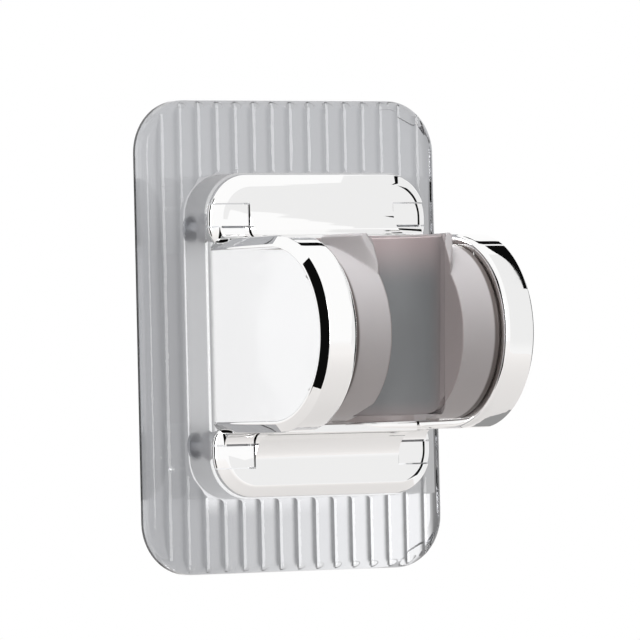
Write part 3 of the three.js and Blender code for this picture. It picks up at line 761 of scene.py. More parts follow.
@made_once("materials", "Bare Back")
def bare_back(name):
    """Unplated plastic on the backs, the bosses and the tabs' grooves of the bright pieces."""
    material, tree, shader = new_material(name)
    add_grain(tree, shader, scale=2200.0, finest=0.45, roughest=0.6, relief=0.1, pore=0.06 * MM)
    paint(tree, shader, bpy.context.scene.holder.colours.bare_back, share=0.93, scale=80.0)
    return material


@made_once("materials", "Mauve Plastic")
def mauve_plastic(name):
    """Satin plastic of the cradle, with painted shade on the faces beside the gap and a painted shadow at the
    ends of the barrel.
    """
    colours, at = bpy.context.scene.holder.colours, layout()
    material, tree, shader = new_material(
        name, Subsurface_Weight=0.12, Subsurface_Radius=(0.6, 0.45, 0.42), Subsurface_Scale=0.003)
    add_grain(tree, shader, scale=2600.0, finest=0.34, roughest=0.46, relief=0.1, pore=0.06 * MM,
              edge=at.cradle.edge_round)
    mauve = add_drift(tree, colours.mauve_plastic, colours.mauve_shade, scale=45.0)
    across = add_math(tree, "ABSOLUTE", add_place(tree)["X"])
    # Painted shade on the cradle's faces beside the gap.
    beside = add_mask(tree, across, at.cradle.mouth_width / 2, GAP_SHADE_END)
    # Painted shadow at the barrel's ends, next to the hoops.
    rim = add_mask(tree, across, at.barrel_end, BARREL_SHADOW_START)
    shade = add_mix(tree, beside, colours.jaw_side_painted_shade, mauve)
    tree.links.new(add_mix(tree, rim, shade, colours.barrel_end_painted_shadow), shader["Base Color"])
    return material


@made_once("materials", "Soft Rubber")
def soft_rubber(name):
    """Grey rubber of the pads and the liner. The liner takes the cradle's tone near its top, and that tone
    with painted shade near its foot and its front.
    """
    colours, at = bpy.context.scene.holder.colours, layout()
    material, tree, shader = new_material(name)
    add_grain(tree, shader, scale=3200.0, finest=0.5, roughest=0.68, relief=0.16, pore=0.08 * MM)
    grey = add_drift(tree, colours.soft_rubber, darker(colours.soft_rubber, 0.86), scale=70.0)
    place = add_place(tree)
    above = add_mask(tree, place["Z"], at.collar_top, LINER_TOP_START)
    # Painted shade near the liner's foot and its front.
    inside = add_mask(tree, place["Z"], -at.cradle.collar_drop, LINER_FOOT_SHADE_END)
    behind = add_mask(tree, place["Y"], at.collar_y, LINER_FRONT_SHADE_END)
    shade = add_mix(tree, above, grey, colours.liner_top)
    shade = add_mix(tree, inside, colours.liner_painted_shade, shade)
    shade = add_mix(tree, behind, colours.liner_painted_shade, shade)
    tree.links.new(shade, shader["Base Color"])
    return material


@made_once("materials", "Screw Steel")
def screw_steel(name):
    material, tree, shader = new_material(name, Metallic=1.0)
    add_grain(tree, shader, scale=4200.0, finest=0.24, roughest=0.38, relief=0.12, pore=0.04 * MM)
    paint(tree, shader, bpy.context.scene.holder.colours.screw_steel, share=0.85, scale=300.0)
    return material


@made_once("materials", "Slide Plastic")
def slide_plastic(name):
    material, tree, shader = new_material(name)
    add_grain(tree, shader, scale=3000.0, finest=0.42, roughest=0.56, relief=0.1, pore=0.06 * MM,
              edge=layout().run.guide_edge)
    paint(tree, shader, bpy.context.scene.holder.colours.slide_plastic, share=0.93, scale=80.0)
    return material


# Clear plate

REED_STEPS = 12  # Stations across one reed
CORNER_STEP = 4  # Degrees between the stations round a corner
FILLET_LIFT = 0.3 * MM  # How far the plinth's fillet rises over its own radius
COLUMN_GAP = 0.06 * MM  # A corner's station nearer than this to a reed's is left out
PLATE_ROWS = 44  # Rows up the plate between its rounded ends
EDGE_SHARES = (0.0, 0.03, 0.08, 0.16, 0.27, 0.4, 0.56, 0.75, 1.0, 1.3)  # Rows on a rounded end


def plate_columns(at):
    """Stations across the plate: fine on each reed, and close together round the corners."""
    plate = at.plate
    pitch = plate.width / plate.reed_count
    half = plate.width / 2
    reed = [-half + pitch * i / REED_STEPS for i in range(REED_STEPS * plate.reed_count + 1)]
    turn = [half - plate.corner + plate.corner * math.sin(math.radians(degrees))
            for degrees in range(CORNER_STEP, 90, CORNER_STEP)]
    extra = [x for x in turn + [-x for x in turn] if min(abs(x - other) for other in reed) > COLUMN_GAP]
    return sorted(reed + extra)


def past_corner(at, x, z):
    """How far a point lies past the middle of the plate's corner, along X and Z."""
    plate = at.plate
    return abs(x) - (plate.width / 2 - plate.corner), abs(z) - (plate.height / 2 - plate.corner)


def outline_top(at, x):
    plate = at.plate
    over = past_corner(at, x, 0.0)[0]
    if over <= 0:
        return plate.height / 2
    return plate.height / 2 - plate.corner + math.sqrt(max(0.0, plate.corner ** 2 - over ** 2))


def edge_distance(at, x, z):
    over_x, over_z = past_corner(at, x, z)
    if over_x > 0 and over_z > 0:
        return at.plate.corner - math.hypot(over_x, over_z)
    return at.plate.corner - max(over_x, over_z)


def outward(at, x, z):
    """Direction across the plate's edge at a point on it."""
    over_x, over_z = past_corner(at, x, z)
    if over_x > 0 and over_z > 0:
        away = Vector((math.copysign(over_x, x), math.copysign(over_z, z)))
    elif over_x > over_z:
        away = Vector((math.copysign(1.0, x), 0.0))
    else:
        away = Vector((0.0, math.copysign(1.0, z)))
    return away.normalized()


def front_depth(at, x, z):
    """Y of the plate's front: the reed's crown, or the rounded edge where that lies further back."""
    plate = at.plate
    pitch = plate.width / plate.reed_count
    radius = pitch ** 2 / (8 * plate.reed_rise) + plate.reed_rise / 2
    place = (x + plate.width / 2) / pitch
    across = (place - min(math.floor(place), plate.reed_count - 1) - 0.5) * pitch
    reed = at.reed_crest + radius - math.sqrt(radius ** 2 - across ** 2)
    inside = min(max(edge_distance(at, x, z) / plate.front_round, 0.0), 1.0)
    edge = at.reed_crest + plate.front_round * (1 - math.sqrt(1 - (1 - inside) ** 2))
    return max(reed, edge)


def reeded_plate(at):
    plate = at.plate
    ends = [plate.front_round * share for share in EDGE_SHARES]
    points, grid = [], []
    for x in plate_columns(at):
        top = outline_top(at, x)
        inner = top - ends[-1]
        heights = [end - top for end in ends] + steps(-inner, inner, PLATE_ROWS)[1:-1]
        heights += [top - end for end in reversed(ends)]
        grid.append(range(len(points), len(points) + len(heights)))
        points.extend((x, front_depth(at, x, z), z) for z in heights)
    faces = []
    for left, right in zip(grid, grid[1:]):
        for i in range(len(left) - 1):
            faces.append((left[i], right[i], right[i + 1], left[i + 1]))
    rim = [column[0] for column in grid] + list(grid[-1][1:-1])
    rim += [column[-1] for column in reversed(grid)] + list(reversed(grid[0][1:-1]))
    rings = [rim]
    for depth, inset in ((at.plate_back - plate.back_break, 0.0), (at.plate_back, plate.back_break)):
        start = len(points)
        for index in rim:
            x, _, z = points[index]
            away = outward(at, x, z)
            points.append((x - away.x * inset, depth, z - away.y * inset))
        rings.append(list(range(start, len(points))))
    for near, far in zip(rings, rings[1:]):
        for i in range(len(near)):
            j = (i + 1) % len(near)
            faces.append((near[i], near[j], far[j], far[i]))
    faces.append(tuple(rings[-1]))
    return mesh_object("clear_plate", points, faces)


def plinth(at):
    """Block under the feet with a rounded front edge and a fillet that runs out onto the reeds."""
    plate = at.plate
    width, height = at.foot_end + plate.plinth_margin, at.foot_high + plate.plinth_margin
    fillet, edge, lift = plate.plinth_fillet, plate.plinth_edge, FILLET_LIFT
    profile = [(at.reed_valley + OVER, -fillet)]
    for turn in steps(0, QUARTER, 6):
        profile.append((at.reed_valley - fillet * (1 - math.cos(turn)) - lift * turn / QUARTER,
                        -fillet * (1 - math.sin(turn))))
    for turn in steps(0, QUARTER, 4):
        profile.append((at.plinth_front + edge * (1 - math.sin(turn)), edge * (1 - math.cos(turn))))
    corners = [at.metal.foot_outer_corner] * 4
    return plate_loft("plinth", (-width, width), (-height, height), corners, profile, count=20)


class HOLDER_OT_plate(bpy.types.Operator):
    """Build the clear reeded plate with its plinth"""

    bl_idname = "holder.plate"
    bl_label = "Clear Plate"

    def execute(self, context):
        at = layout()
        body = combine(reeded_plate(at), "UNION", plinth(at))
        smooth(body, limit=30.0, weighted=False)
        dress(body, clear_plastic(), "base", "clear_plastic", "wall_plate")
        return {"FINISHED"}


class HOLDER_OT_sheet(bpy.types.Operator):
    """Build the adhesive sheet behind the plate"""

    bl_idname = "holder.sheet"
    bl_label = "Adhesive Sheet"

    def execute(self, context):
        at = layout()
        plate = at.plate
        across, upright = (-plate.width / 2, plate.width / 2), (-plate.height / 2, plate.height / 2)
        inset, edge = plate.sheet_inset, SHEET_EDGE
        profile = [(0.0, inset + edge), (-edge, inset), (at.plate_back + SHEET_BREAK, inset),
                   (at.plate_back + SHEET_GAP, inset + edge)]
        body = plate_loft("gel_sheet", across, upright, [plate.corner] * 4, profile, count=20)
        body = smooth(body, limit=50.0)
        dress(body, adhesive_gel(), "base", "adhesive_gel", "adhesive_sheet")
        return {"FINISHED"}


# Bright feet and hoops

# Margins by which a face counts as one of a back or a groove
BACK_MARGIN = 0.02 * MM
GROOVE_MARGIN = 0.01 * MM
SINK_MARGIN = 0.1 * MM


def flange(at, name, thickness, level):
    """Whole flange of a foot with a bevel round its front. The feet and the hoops' tabs are cut from it."""
    metal = at.metal
    upright = (at.foot_low, at.foot_high) if level > 0 else (-at.foot_high, -at.foot_low)
    corners = [metal.foot_inner_corner] * 2 + [metal.foot_outer_corner] * 2
    corners = corners if level > 0 else corners[::-1]
    front = at.plinth_front - thickness
    bevel = metal.foot_bevel_width
    profile = rounded_path([(at.metal_back, 0.0), (front + metal.foot_bevel_depth, 0.0), (front, bevel),
                            (front, bevel + metal.edge_round)], metal.edge_round)[:-1]
    return plate_loft(name, (-at.foot_end, at.foot_end), upright, corners, profile, count=18)


def eased_corner(y, z, radius, count):
    """Hollow quarter round from a wall at y down to a floor at z, as (y, z) points."""
    return [(y - radius + radius * math.cos(turn), z + radius - radius * math.sin(turn))
            for turn in steps(0, QUARTER, count)]


def gusset(at):
    """Lip of a foot over the hoops' inside, and the curve from the foot's face into it."""
    metal = at.metal
    top = metal.hoop_radius + metal.gusset_rise
    under = top - metal.gusset_wall
    lip = at.foot_front - metal.gusset_reach
    outline = [(at.metal_back, under), (at.metal_back, top + metal.gusset_radius)]
    outline += eased_corner(at.foot_front, top, metal.gusset_radius, count=24)
    outline += rounded_path([outline[-1], (lip, top), (lip, under), outline[0]], metal.edge_round)[1:-1]
    reach = at.hoop_inner_face - at.run.seat_clearance
    return drawn_along_x("gusset", outline, (-reach, reach))


def plate_front(body, at):
    """Leaves a bright piece bare where plating hardly reaches: its back, its bosses and the tabs' grooves."""
    body.data.materials.append(bare_back())
    metal = at.metal
    half = metal.tab_groove / 2
    middle = metal.hoop_radius + metal.tab_fillet - half
    sink = at.foot_front + metal.tab_setback + SINK_MARGIN
    for face in body.data.polygons:
        x, y, z = face.center
        in_groove = abs(abs(z) - middle) < half + GROOVE_MARGIN and abs(x) > at.hoop_inner_face and y > sink
        if in_groove or y > at.metal_back - BACK_MARGIN:
            face.material_index = 1


def boss(at, place):
    span = (at.plinth_front - OVER, at.plinth_front + at.run.boss_length)
    return rod_along_y("boss", at.run.boss_radius, span, *place)


class HOLDER_OT_feet(bpy.types.Operator):
    """Build the two bright feet"""

    bl_idname = "holder.feet"
    bl_label = "Feet"

    def execute(self, context):
        at = layout()
        clear = at.run.seat_clearance
        for level in ("upper", "lower"):
            body = flange(at, f"{level}_bright_foot", at.metal.foot_thickness, 1)
            inner, outer = at.hoop_inner_face - clear, at.foot_end + 2 * OVER
            depth = (at.foot_front - 2 * OVER, at.plinth_front + 2 * OVER)
            upright = (at.foot_low - 2 * OVER, at.tab_high + clear)
            combine(body, "DIFFERENCE", block("notch", (inner, outer), depth, upright),
                    block("notch", (-outer, -inner), depth, upright))
            combine(body, "UNION", gusset(at))
            smooth(body)
            combine(body, "UNION", *[boss(at, place) for place in at.foot_screws])
            if level == "lower":
                turned_half(body)
            dress(body, bright_plating(), "base", "bright_plating", f"{level}_foot")
            plate_front(body, at)
        return {"FINISHED"}


def hoop_band(at, name):
    """Band of a hoop: the half round at the front and both arms back to the plinth."""
    metal = at.metal
    edge = metal.hoop_inner_round
    start, radius = at.hoop_inner_face, metal.hoop_radius
    section = rounded_path([
        (start, at.hoop_bore),
        (at.hoop_outer_face, at.hoop_bore),
        (at.hoop_outer_face, radius - metal.hoop_bevel_depth),
        (at.hoop_outer_face - metal.hoop_bevel_width, radius),
        (start + edge, radius),
    ], metal.edge_round / 2)[:-1]
    section += [(x, radius) for x in steps(section[-1][0], start + edge, 6)[1:-1]]
    for turn in steps(0, QUARTER, 6):
        section.append((start + edge * (1 - math.sin(turn)), radius - edge * (1 - math.cos(turn))))

    def ring(y, turn):
        return [(x, y - r * math.cos(turn), r * math.sin(turn)) for x, r in section]

    front = [ring(at.axis_y, QUARTER - turn) for turn in steps(0, math.pi, 180)]
    return loft(name, [ring(at.metal_back, QUARTER), *front, ring(at.metal_back, -QUARTER)])


def tab(at, level):
    """Upturned end of a hoop's arm, with the fillet that runs from the arm into it."""
    metal = at.metal
    thickness = metal.foot_thickness - metal.tab_setback
    body = flange(at, "tab", thickness, level)
    depth = (at.plinth_front - metal.foot_thickness, at.plinth_front + OVER)
    upright = (0.0, at.tab_high) if level > 0 else (-at.tab_high, 0.0)
    combine(body, "INTERSECT", block("notch", (at.hoop_inner_face, at.foot_end + OVER), depth, upright))
    face, radius, arm = at.plinth_front - thickness, metal.tab_fillet, metal.hoop_radius
    outline = [(face - radius, arm - OVER), (face + OVER, arm - OVER), (face + OVER, arm + radius)]
    outline = [(y, z * level) for y, z in outline + eased_corner(face, arm, radius, count=16)]
    span = (at.hoop_inner_face, at.hoop_outer_face - metal.hoop_bevel_width)
    return combine(body, "UNION", drawn_along_x("fillet", outline, span))


def tab_groove(at, level):
    """Fine groove where a hoop's arm runs into its tab."""
    metal = at.metal
    low = metal.hoop_radius + metal.tab_fillet - metal.tab_groove
    upright = (low, low + metal.tab_groove) if level > 0 else (-low - metal.tab_groove, -low)
    depth = (at.foot_front - OVER, at.foot_front + metal.tab_setback + metal.tab_groove_depth)
    return block("groove", (at.hoop_inner_face - OVER, at.foot_end - metal.foot_bevel_width), depth, upright)


class HOLDER_OT_hoops(bpy.types.Operator):
    """Build the two bright hoops"""

    bl_idname = "holder.hoops"
    bl_label = "Hoops"

    def execute(self, context):
        at = layout()
        run = at.run
        for side in ("right", "left"):
            body = hoop_band(at, f"{side}_bright_hoop")
            combine(body, "UNION", tab(at, 1), tab(at, -1))
            smooth(body)
            combine(body, "DIFFERENCE", tab_groove(at, 1), tab_groove(at, -1))
            radii = (at.lug_inner, at.hoop_bore + LUG_ROOT)
            span = (at.hoop_inner_face, at.lug_face)
            combine(
                body, "UNION",
                ring_part("lug", at.axis_y, radii, (run.lug_start, run.lug_end), span, count=8),
                ring_part("lug", at.axis_y, radii, (-run.lug_end, -run.lug_start), span, count=8),
                *[boss(at, place) for place in at.hoop_screws],
            )
            if side == "left":
                turned_half(body)
            dress(body, bright_plating(), "base", "bright_plating", f"{side}_hoop")
            plate_front(body, at)
        return {"FINISHED"}


# Cradle and its run

def collar_tool(at, name, profile):
    body = turned(name, profile)
    body.data.transform(Matrix.Translation((0, at.collar_y, 0)))
    return body


def mouth(at):
    reach = 2 * at.metal.hoop_radius
    half = at.cradle.mouth_width / 2
    return block("mouth", (-half, half), (at.axis_y - reach, at.collar_y), (-reach, reach))


def front_trim(at):
    """What comes off the front of the collar and the liner: a wedge above and the barrel's round below."""
    cradle = at.cradle
    reach = 2 * at.metal.hoop_radius
    radius = cradle.bore_radius + cradle.collar_wall
    span = (-radius - OVER, radius + OVER)
    high = at.collar_top + OVER
    start = at.collar_y - math.sqrt(radius ** 2 - (cradle.mouth_width / 2) ** 2)
    lean = (high - cradle.lean_start) * math.tan(cradle.lean_angle)
    outline = [(start, cradle.lean_start), (start + lean, high), (at.axis_y - reach, high),
               (at.axis_y - reach, cradle.lean_start)]
    below = ring_part("below", at.axis_y, (at.barrel_radius - cradle.barrel_wall / 2, reach),
                      (-cradle.barrel_half_angle, 0.0), span)
    return [drawn_along_x("wedge", outline, span), below]


class HOLDER_OT_cradle(bpy.types.Operator):
    """Build the tilting cradle"""

    bl_idname = "holder.cradle"
    bl_label = "Cradle"

    def execute(self, context):
        at = layout()
        cradle, run = at.cradle, at.run
        turn = cradle.barrel_half_angle
        end, jaw = at.barrel_end, cradle.mouth_width / 2 + cradle.jaw_wall
        tongue = at.lug_face - run.run_clearance
        radius, edge = cradle.bore_radius + cradle.collar_wall, cradle.collar_edge
        top, bottom = at.collar_top, -cradle.collar_drop
        lower_bore = cradle.bore_radius - cradle.bore_taper
        ledge = lower_bore - cradle.liner_wall - run.liner_clearance
        step = bottom + cradle.bore_ledge
        collar = collar_tool(at, "collar", [(0, bottom), (radius - edge, bottom), (radius, bottom + edge),
                                            (radius, top - edge), (radius - edge, top), (0, top)])
        body = ring_part("mauve_cradle", at.axis_y, (at.barrel_radius - cradle.barrel_wall, at.barrel_radius),
                         (-turn, turn), (-end, end), count=112)
        combine(
            body, "UNION",
            ring_part("tongues", at.axis_y, (at.tongue_inner, at.tongue_outer),
                      (-run.tongue_half_angle, run.tongue_half_angle), (-tongue, tongue), count=40),
            ring_part("jaws", at.axis_y, (cradle.bore_radius, at.barrel_radius - cradle.barrel_wall / 2),
                      (-turn, turn), (-jaw, jaw), count=112),
            combine(collar, "DIFFERENCE", *front_trim(at)),
        )
        combine(
            body, "DIFFERENCE",
            collar_tool(at, "bore", [
                (0, bottom - OVER), (ledge, bottom - OVER), (ledge, step), (lower_bore, step),
                (cradle.bore_radius, top), (cradle.bore_radius, top + OVER), (0, top + OVER)]),
            mouth(at),
        )
        smooth(body, limit=40.0)
        dress(body, mauve_plastic(), "tilting_cradle", "mauve_plastic", "cradle")
        return {"FINISHED"}


class HOLDER_OT_liner(bpy.types.Operator):
    """Build the soft liner in the cradle's bore"""

    bl_idname = "holder.liner"
    bl_label = "Liner"

    def execute(self, context):
        at = layout()
        cradle = at.cradle
        low = cradle.bore_ledge - cradle.collar_drop + LINER_GAP
        high = at.collar_top - cradle.collar_edge
        bottom = cradle.bore_radius - cradle.bore_taper - LINER_GAP
        top = cradle.bore_radius - LINER_GAP
        wall, lip = cradle.liner_wall, LINER_LIP
        profile = [(bottom - wall, low), (bottom, low), (top, high - lip), (top - lip, high),
                   (top - wall + lip, high), (top - wall, high - lip)]
        body = combine(collar_tool(at, "soft_liner", profile), "DIFFERENCE", mouth(at), *front_trim(at))
        smooth(body, limit=50.0)
        dress(body, soft_rubber(), "tilting_cradle", "soft_rubber", "bore_liner")
        return {"FINISHED"}


class HOLDER_OT_guides(bpy.types.Operator):
    """Build the guides inside the hoops and dress their friction pads"""

    bl_idname = "holder.guides"
    bl_label = "Guides"

    def execute(self, context):
        at = layout()
        run = at.run
        wall = run.lug_start - math.radians(GUIDE_GAP)
        for side in ("right", "left"):
            body = ring_part(
                f"{side}_slide_guide", at.axis_y, (at.guide_inner, at.hoop_bore - run.seat_clearance),
                (-run.lug_end, run.lug_end), (at.lug_face, at.web_face), count=80)
            combine(body, "UNION", ring_part(
                "wall", at.axis_y, (at.guide_inner, at.guide_outer), (-wall, wall),
                (at.hoop_inner_face, at.lug_face + run.guide_web / 2), count=80))
            combine(body, "DIFFERENCE", ring_part(
                "pocket", at.axis_y, (at.guide_inner + run.pad_floor, at.guide_outer + OVER),
                (-run.pad_half_angle, run.pad_half_angle), (at.hoop_inner_face - OVER, at.lug_face),
                count=20))
            smooth(body)
            if side == "left":
                turned_half(body)
            dress(body, slide_plastic(), "base", "slide_plastic", f"{side}_guide")
            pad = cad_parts[f"{side}_friction_pad"]
            pad.data.materials.clear()
            pad.data.materials.append(soft_rubber())
        return {"FINISHED"}


# Shapes of a screw, as shares of its shank's radius, its head's radius and its head's height
THREAD_PITCH, THREAD_DEPTH, THREAD_START, THREAD_END = 0.5, 0.14, 0.6, 1.5
TIP_RADIUS, TIP_LENGTH = 0.55, 0.5
NECK_LOW, NECK_HIGH = 0.5, 0.3
HEAD_SIDE, HEAD_TURN = 0.45, 0.72
RECESS_WIDTH, RECESS_REACH, RECESS_DEPTH = 0.26, 0.62, 0.6
RECESS_OVER, RECESS_TAPER = 0.2, 0.45


def cross_recess(width, reach, depth):
    """Tapered cross that sinks into a screw's head from z = 0."""
    def bar(across):
        rings = []
        for z, share in ((RECESS_OVER * depth, 1.0), (-depth, RECESS_TAPER)):
            x, y = (reach * share, width / 2) if across else (width / 2, reach * share)
            rings.append([(-x, -y, z), (x, -y, z), (x, y, z), (-x, y, z)])
        return loft("bar", rings)
    return combine(bar(True), "UNION", bar(False))


def screw_body(name, shank, head, height, tip):
    """Screw along Z: its head's seat is at z = 0, the head above it and the tip at z = -tip."""
    pitch, root = shank * THREAD_PITCH, shank - shank * THREAD_DEPTH
    profile = [(0.0, -tip), (shank * TIP_RADIUS, -tip), (root, -tip + shank * TIP_LENGTH)]
    for i in range(int((tip - shank * THREAD_END) / pitch)):
        z = -tip + shank * THREAD_START + i * pitch
        profile += [(root, z), (shank, z + pitch / 2)]
    profile += [(root, -shank * NECK_LOW), (shank, -shank * NECK_HIGH), (shank, 0.0), (head, 0.0),
                (head, height * HEAD_SIDE)]
    for turn in steps(0, QUARTER, 8)[1:]:
        rise = HEAD_SIDE + (1.0 - HEAD_SIDE) * math.sin(turn)
        profile.append((head * math.cos(turn * HEAD_TURN), height * rise))
    profile.append((0.0, height))
    body = turned(name, profile, sides=48)
    recess = cross_recess(head * RECESS_WIDTH, head * RECESS_REACH, height * RECESS_DEPTH)
    recess.data.transform(Matrix.Translation((0, 0, height)))
    combine(body, "DIFFERENCE", recess)
    return smooth(body, limit=40.0)


class HOLDER_OT_screws(bpy.types.Operator):
    """Build the screws that hold the feet, the hoops and the guides"""

    bl_idname = "holder.screws"
    bl_label = "Screws"

    def execute(self, context):
        at = layout()
        run = at.run
        for level, turn in (("upper", 1), ("lower", -1)):
            self.place(at, f"{level}_foot_screw", at.foot_screws, turn)
        for side, turn in (("right", 1), ("left", -1)):
            self.place(at, f"{side}_hoop_screw", at.hoop_screws, turn)
            for number, sign in ((1, 1), (2, -1)):
                node = f"{side}_guide_screw_{number}"
                body = screw_body(f"{node}_fine", run.guide_screw_radius, run.guide_screw_head_radius,
                                  run.guide_screw_head_height, at.web_face - at.hoop_inner_face - SCREW_GAP)
                body.data.transform(Matrix.Rotation(QUARTER, 4, "Y"))
                body.data.transform(Matrix.Translation((
                    at.web_face, at.axis_y - at.lug_radius * math.cos(at.lug_middle),
                    sign * at.lug_radius * math.sin(at.lug_middle))))
                if side == "left":
                    turned_half(body)
                dress(body, screw_steel(), "base", "screw_steel", node)
        return {"FINISHED"}

    def place(self, at, label, places, turn):
        """Puts fixing screws in from behind. A turn of -1 gives the places of the pair's other piece."""
        run = at.run
        tip = at.head_seat - at.plinth_front - SCREW_GAP
        for number, (x, z) in enumerate(places, 1):
            body = screw_body(f"{label}_{number}_fine", run.screw_radius, run.screw_head_radius,
                              run.screw_head_height, tip)
            body.data.transform(Matrix.Rotation(-QUARTER, 4, "X"))
            body.data.transform(Matrix.Translation((turn * x, at.head_seat, turn * z)))
            dress(body, screw_steel(), "base", "screw_steel", f"{label}_{number}")


# Stage

def card(name, corners, material, mirrored):
    """Flat card as a photographer's flag, seen in bright surfaces alone or through clear plastic alone."""
    made = mesh_object(name, corners, [tuple(range(len(corners)))])
    made.data.materials.append(material)
    made.visible_camera = False
    made.visible_diffuse = False
    made.visible_shadow = False
    made.visible_volume_scatter = False
    made.visible_glossy = mirrored
    made.visible_transmission = not mirrored


def glow_material(name, strength):
    """Even glow of a card."""
    material = bpy.data.materials.new(name)
    material.use_nodes = True
    tree = material.node_tree
    tree.nodes.clear()
    glow = tree.nodes.new("ShaderNodeEmission")
    glow.inputs["Strength"].default_value = strength
    result = tree.nodes.new("ShaderNodeOutputMaterial")
    tree.links.new(glow.outputs["Emission"], result.inputs["Surface"])
    return material


def grade(material, share, low, high):
    """Lets a card's glow run from one level to another."""
    tree = material.node_tree
    tree.links.new(add_range(tree, share, low, high), tree.nodes["Emission"].inputs["Strength"])
    return material


def blend(tree, share, first, second):
    """Puts a share of a second shader in the place of the first one."""
    mix = tree.nodes.new("ShaderNodeMixShader")
    for socket, value in zip(mix.inputs, (share, first, second)):
        tree.links.new(value, socket)
    tree.links.new(mix.outputs["Shader"], tree.nodes["Material Output"].inputs["Surface"])


def dark_material(level):
    """Nearly black glow, which looks grey to rays that have passed clear plastic."""
    material = glow_material("dark_card", level)
    path = material.node_tree.nodes.new("ShaderNodeLightPath")
    return grade(material, path.outputs["Transmission Depth"], level, DARK_THROUGH)


def pale_material(level):
    """Pale glow, a little brighter near the floor."""
    material = glow_material("pale_card", level)
    upright = add_place(material.node_tree)["Z"]
    return grade(material, add_step(material.node_tree, upright, *PALE_FOOT), PALE_FOOT_LEVEL, level)


def grey_material(level):
    """Grey glow that runs out into white on the right."""
    material = glow_material("grey_card", level)
    across = add_place(material.node_tree)["X"]
    return grade(material, add_step(material.node_tree, across, *GREY_FADE), level, 1.0)


def veil_material(level):
    """Grey that thins out downwards and to the right, so that the upper and left reeds stand before grey."""
    material = glow_material("grey_veil", level)
    tree = material.node_tree
    place = add_place(tree)
    above = add_step(tree, place["Z"], *VEIL_UPPER)
    left = tree.nodes.new("ShaderNodeMix")
    tree.links.new(add_step(tree, place["Z"], *VEIL_LOWER), left.inputs["Factor"])
    tree.links.new(add_step(tree, place["X"], *VEIL_LOWER_FADE), left.inputs["A"])
    tree.links.new(add_step(tree, place["X"], *VEIL_LEFT_EDGE), left.inputs["B"])
    share = add_math(tree, "MAXIMUM", above, left.outputs["Result"])
    share = add_math(tree, "MULTIPLY", share, VEIL_SHARE)
    glow = tree.nodes["Emission"]
    glow.inputs["Color"].default_value = VEIL_COLOUR
    grade(material, above, VEIL_LOW_LEVEL * level, level)
    clear = tree.nodes.new("ShaderNodeBsdfTransparent")
    blend(tree, share, clear.outputs["BSDF"], glow.outputs["Emission"])
    return material


def seen_directly(tree):
    """1 for the camera and for what metal and clear plastic show, 0 for the light on matt surfaces."""
    path = tree.nodes.new("ShaderNodeLightPath").outputs
    first = add_math(tree, "MAXIMUM", path["Is Camera Ray"], path["Is Glossy Ray"])
    return add_math(tree, "MAXIMUM", first, path["Is Transmission Ray"])


def floor_material(shade):
    """Pale floor that keeps the object's shadow and fades into the white backdrop."""
    material, tree, _ = new_material("pale_floor", Base_Color=(*shade, 1.0), Roughness=FLOOR_ROUGHNESS)
    glow = tree.nodes.new("ShaderNodeEmission")
    place = tree.nodes.new("ShaderNodeTexCoord")
    distance = tree.nodes.new("ShaderNodeVectorMath")
    distance.operation = "LENGTH"
    tree.links.new(place.outputs["Object"], distance.inputs[0])
    far = add_step(tree, distance.outputs["Value"], *FLOOR_NEAR)
    farther = add_step(tree, distance.outputs["Value"], *FLOOR_FAR)
    tree.links.new(add_mix(tree, farther, FLOOR_WARM, WHITE), glow.inputs["Color"])
    level = add_math(tree, "MULTIPLY_ADD", farther, FLOOR_FAR_GLOW, add_range(tree, far, *FLOOR_GLOW))
    share = add_math(tree, "MULTIPLY", seen_directly(tree), level)
    blend(tree, share, tree.nodes["Principled BSDF"].outputs["BSDF"], glow.outputs["Emission"])
    return material


def lamp(name, power, width, place):
    data = bpy.data.lights.new(name, "AREA")
    data.energy = power
    data.color = LAMP_COLOUR
    data.shape = "RECTANGLE"
    data.size = data.size_y = width
    made = bpy.data.objects.new(name, data)
    made.location = place
    made.rotation_euler = (Vector(LAMP_AIM) - Vector(place)).to_track_quat("-Z", "Y").to_euler()
    made.visible_glossy = False
    made.visible_transmission = False
    bpy.context.scene.collection.objects.link(made)


def studio_world(scene, fill):
    """White for the camera and for bright and clear pieces, and a fill light for matt ones."""
    world = bpy.data.worlds.new("studio")
    world.use_nodes = True
    scene.world = world
    tree = world.node_tree
    background = tree.nodes["Background"]
    background.inputs["Color"].default_value = (*WHITE, 1.0)
    tree.links.new(add_range(tree, seen_directly(tree), fill, 1.0), background.inputs["Strength"])


def photo_camera(scene, lens):
    data = bpy.data.cameras.new("photo_camera")
    data.lens = lens
    data.sensor_width = SENSOR_WIDTH
    camera = bpy.data.objects.new("photo_camera", data)
    turn = Matrix((CAMERA_RIGHT, CAMERA_UP, CAMERA_BACK)).transposed().to_4x4()
    camera.matrix_world = Matrix.Translation(CAMERA_PLACE) @ turn
    scene.collection.objects.link(camera)
    scene.camera = camera


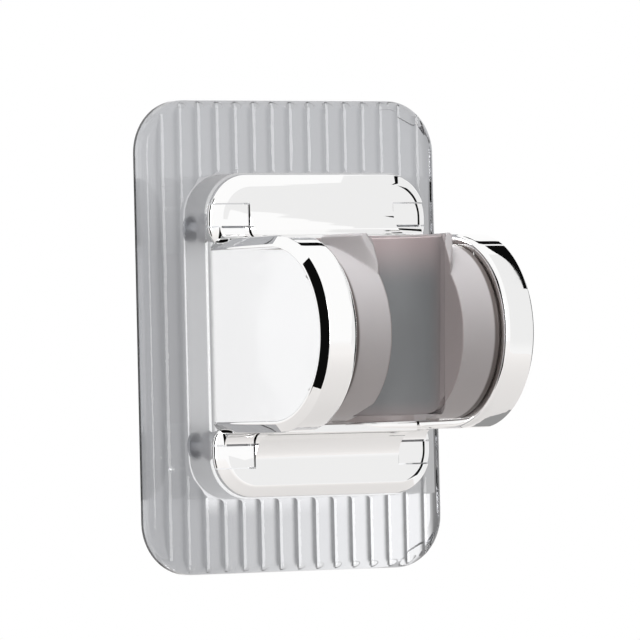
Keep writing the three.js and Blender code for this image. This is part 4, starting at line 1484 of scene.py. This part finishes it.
class HOLDER_OT_stage(bpy.types.Operator):
    """Build the camera, the pale floor, the lamps and the cards"""

    bl_idname = "holder.stage"
    bl_label = "Stage"

    def execute(self, context):
        scene = context.scene
        stage = scene.holder.stage
        scene.view_settings.view_transform = "Standard"
        studio_world(scene, stage.fill)
        photo_camera(scene, stage.lens)

        square = [(-FLOOR_REACH, -FLOOR_REACH), (FLOOR_REACH, -FLOOR_REACH),
                  (FLOOR_REACH, FLOOR_REACH), (-FLOOR_REACH, FLOOR_REACH)]
        floor = mesh_object("pale_floor", level_card(-stage.floor_depth, square), [(0, 1, 2, 3)])
        floor.data.materials.append(floor_material(scene.holder.colours.floor))
        lamp("top_lamp", stage.top_lamp, width=0.9, place=(-0.1, -0.25, 1.0))
        lamp("front_lamp", stage.front_lamp, width=0.8, place=(-0.7, -1.0, 0.55))

        dark = dark_material(stage.dark_card)
        for name, corners in DARK_CARDS.items():
            card(name, corners, dark, mirrored=True)
        card("right_pale_card", PALE_CARD, pale_material(stage.pale_card), mirrored=True)
        card("strip_light", STRIP_LIGHT, glow_material("strip_light", stage.strip_light), mirrored=True)
        card("grey_floor_card", FLOOR_CARD, glow_material("floor_card", stage.floor_card), mirrored=True)
        card("grey_back_card", GREY_BACK_CARD, grey_material(stage.grey_card), mirrored=False)
        card("grey_veil", GREY_VEIL, veil_material(stage.veil), mirrored=False)
        card("grey_side_card", GREY_SIDE_CARD, glow_material("side_card", stage.veil), mirrored=False)
        return {"FINISHED"}


class HOLDER_PT_panel(bpy.types.Panel):
    """Lists the holder's pieces"""

    bl_idname = "HOLDER_PT_panel"
    bl_label = "Shower Head Holder"
    bl_space_type = "VIEW_3D"
    bl_region_type = "UI"
    bl_category = "Holder"

    def draw(self, context):
        for operator in OPERATORS:
            self.layout.operator(operator.bl_idname)


OPERATORS = (
    HOLDER_OT_plate, HOLDER_OT_sheet, HOLDER_OT_feet, HOLDER_OT_hoops, HOLDER_OT_cradle,
    HOLDER_OT_liner, HOLDER_OT_guides, HOLDER_OT_screws, HOLDER_OT_stage,
)
CLASSES = (
    HolderPlateSizes, HolderMetalSizes, HolderCradleSizes, HolderRunSizes,
    HolderColours, HolderStage, HolderSettings, *OPERATORS, HOLDER_PT_panel,
)


def register():
    for cls in CLASSES:
        bpy.utils.register_class(cls)
    bpy.types.Scene.holder = bpy.props.PointerProperty(type=HolderSettings)


def unregister():
    del bpy.types.Scene.holder
    for cls in reversed(CLASSES):
        bpy.utils.unregister_class(cls)


def main():
    register()
    for operator in OPERATORS:
        group, name = operator.bl_idname.split(".")
        getattr(getattr(bpy.ops, group), name)()


if __name__ == "__main__":
    main()
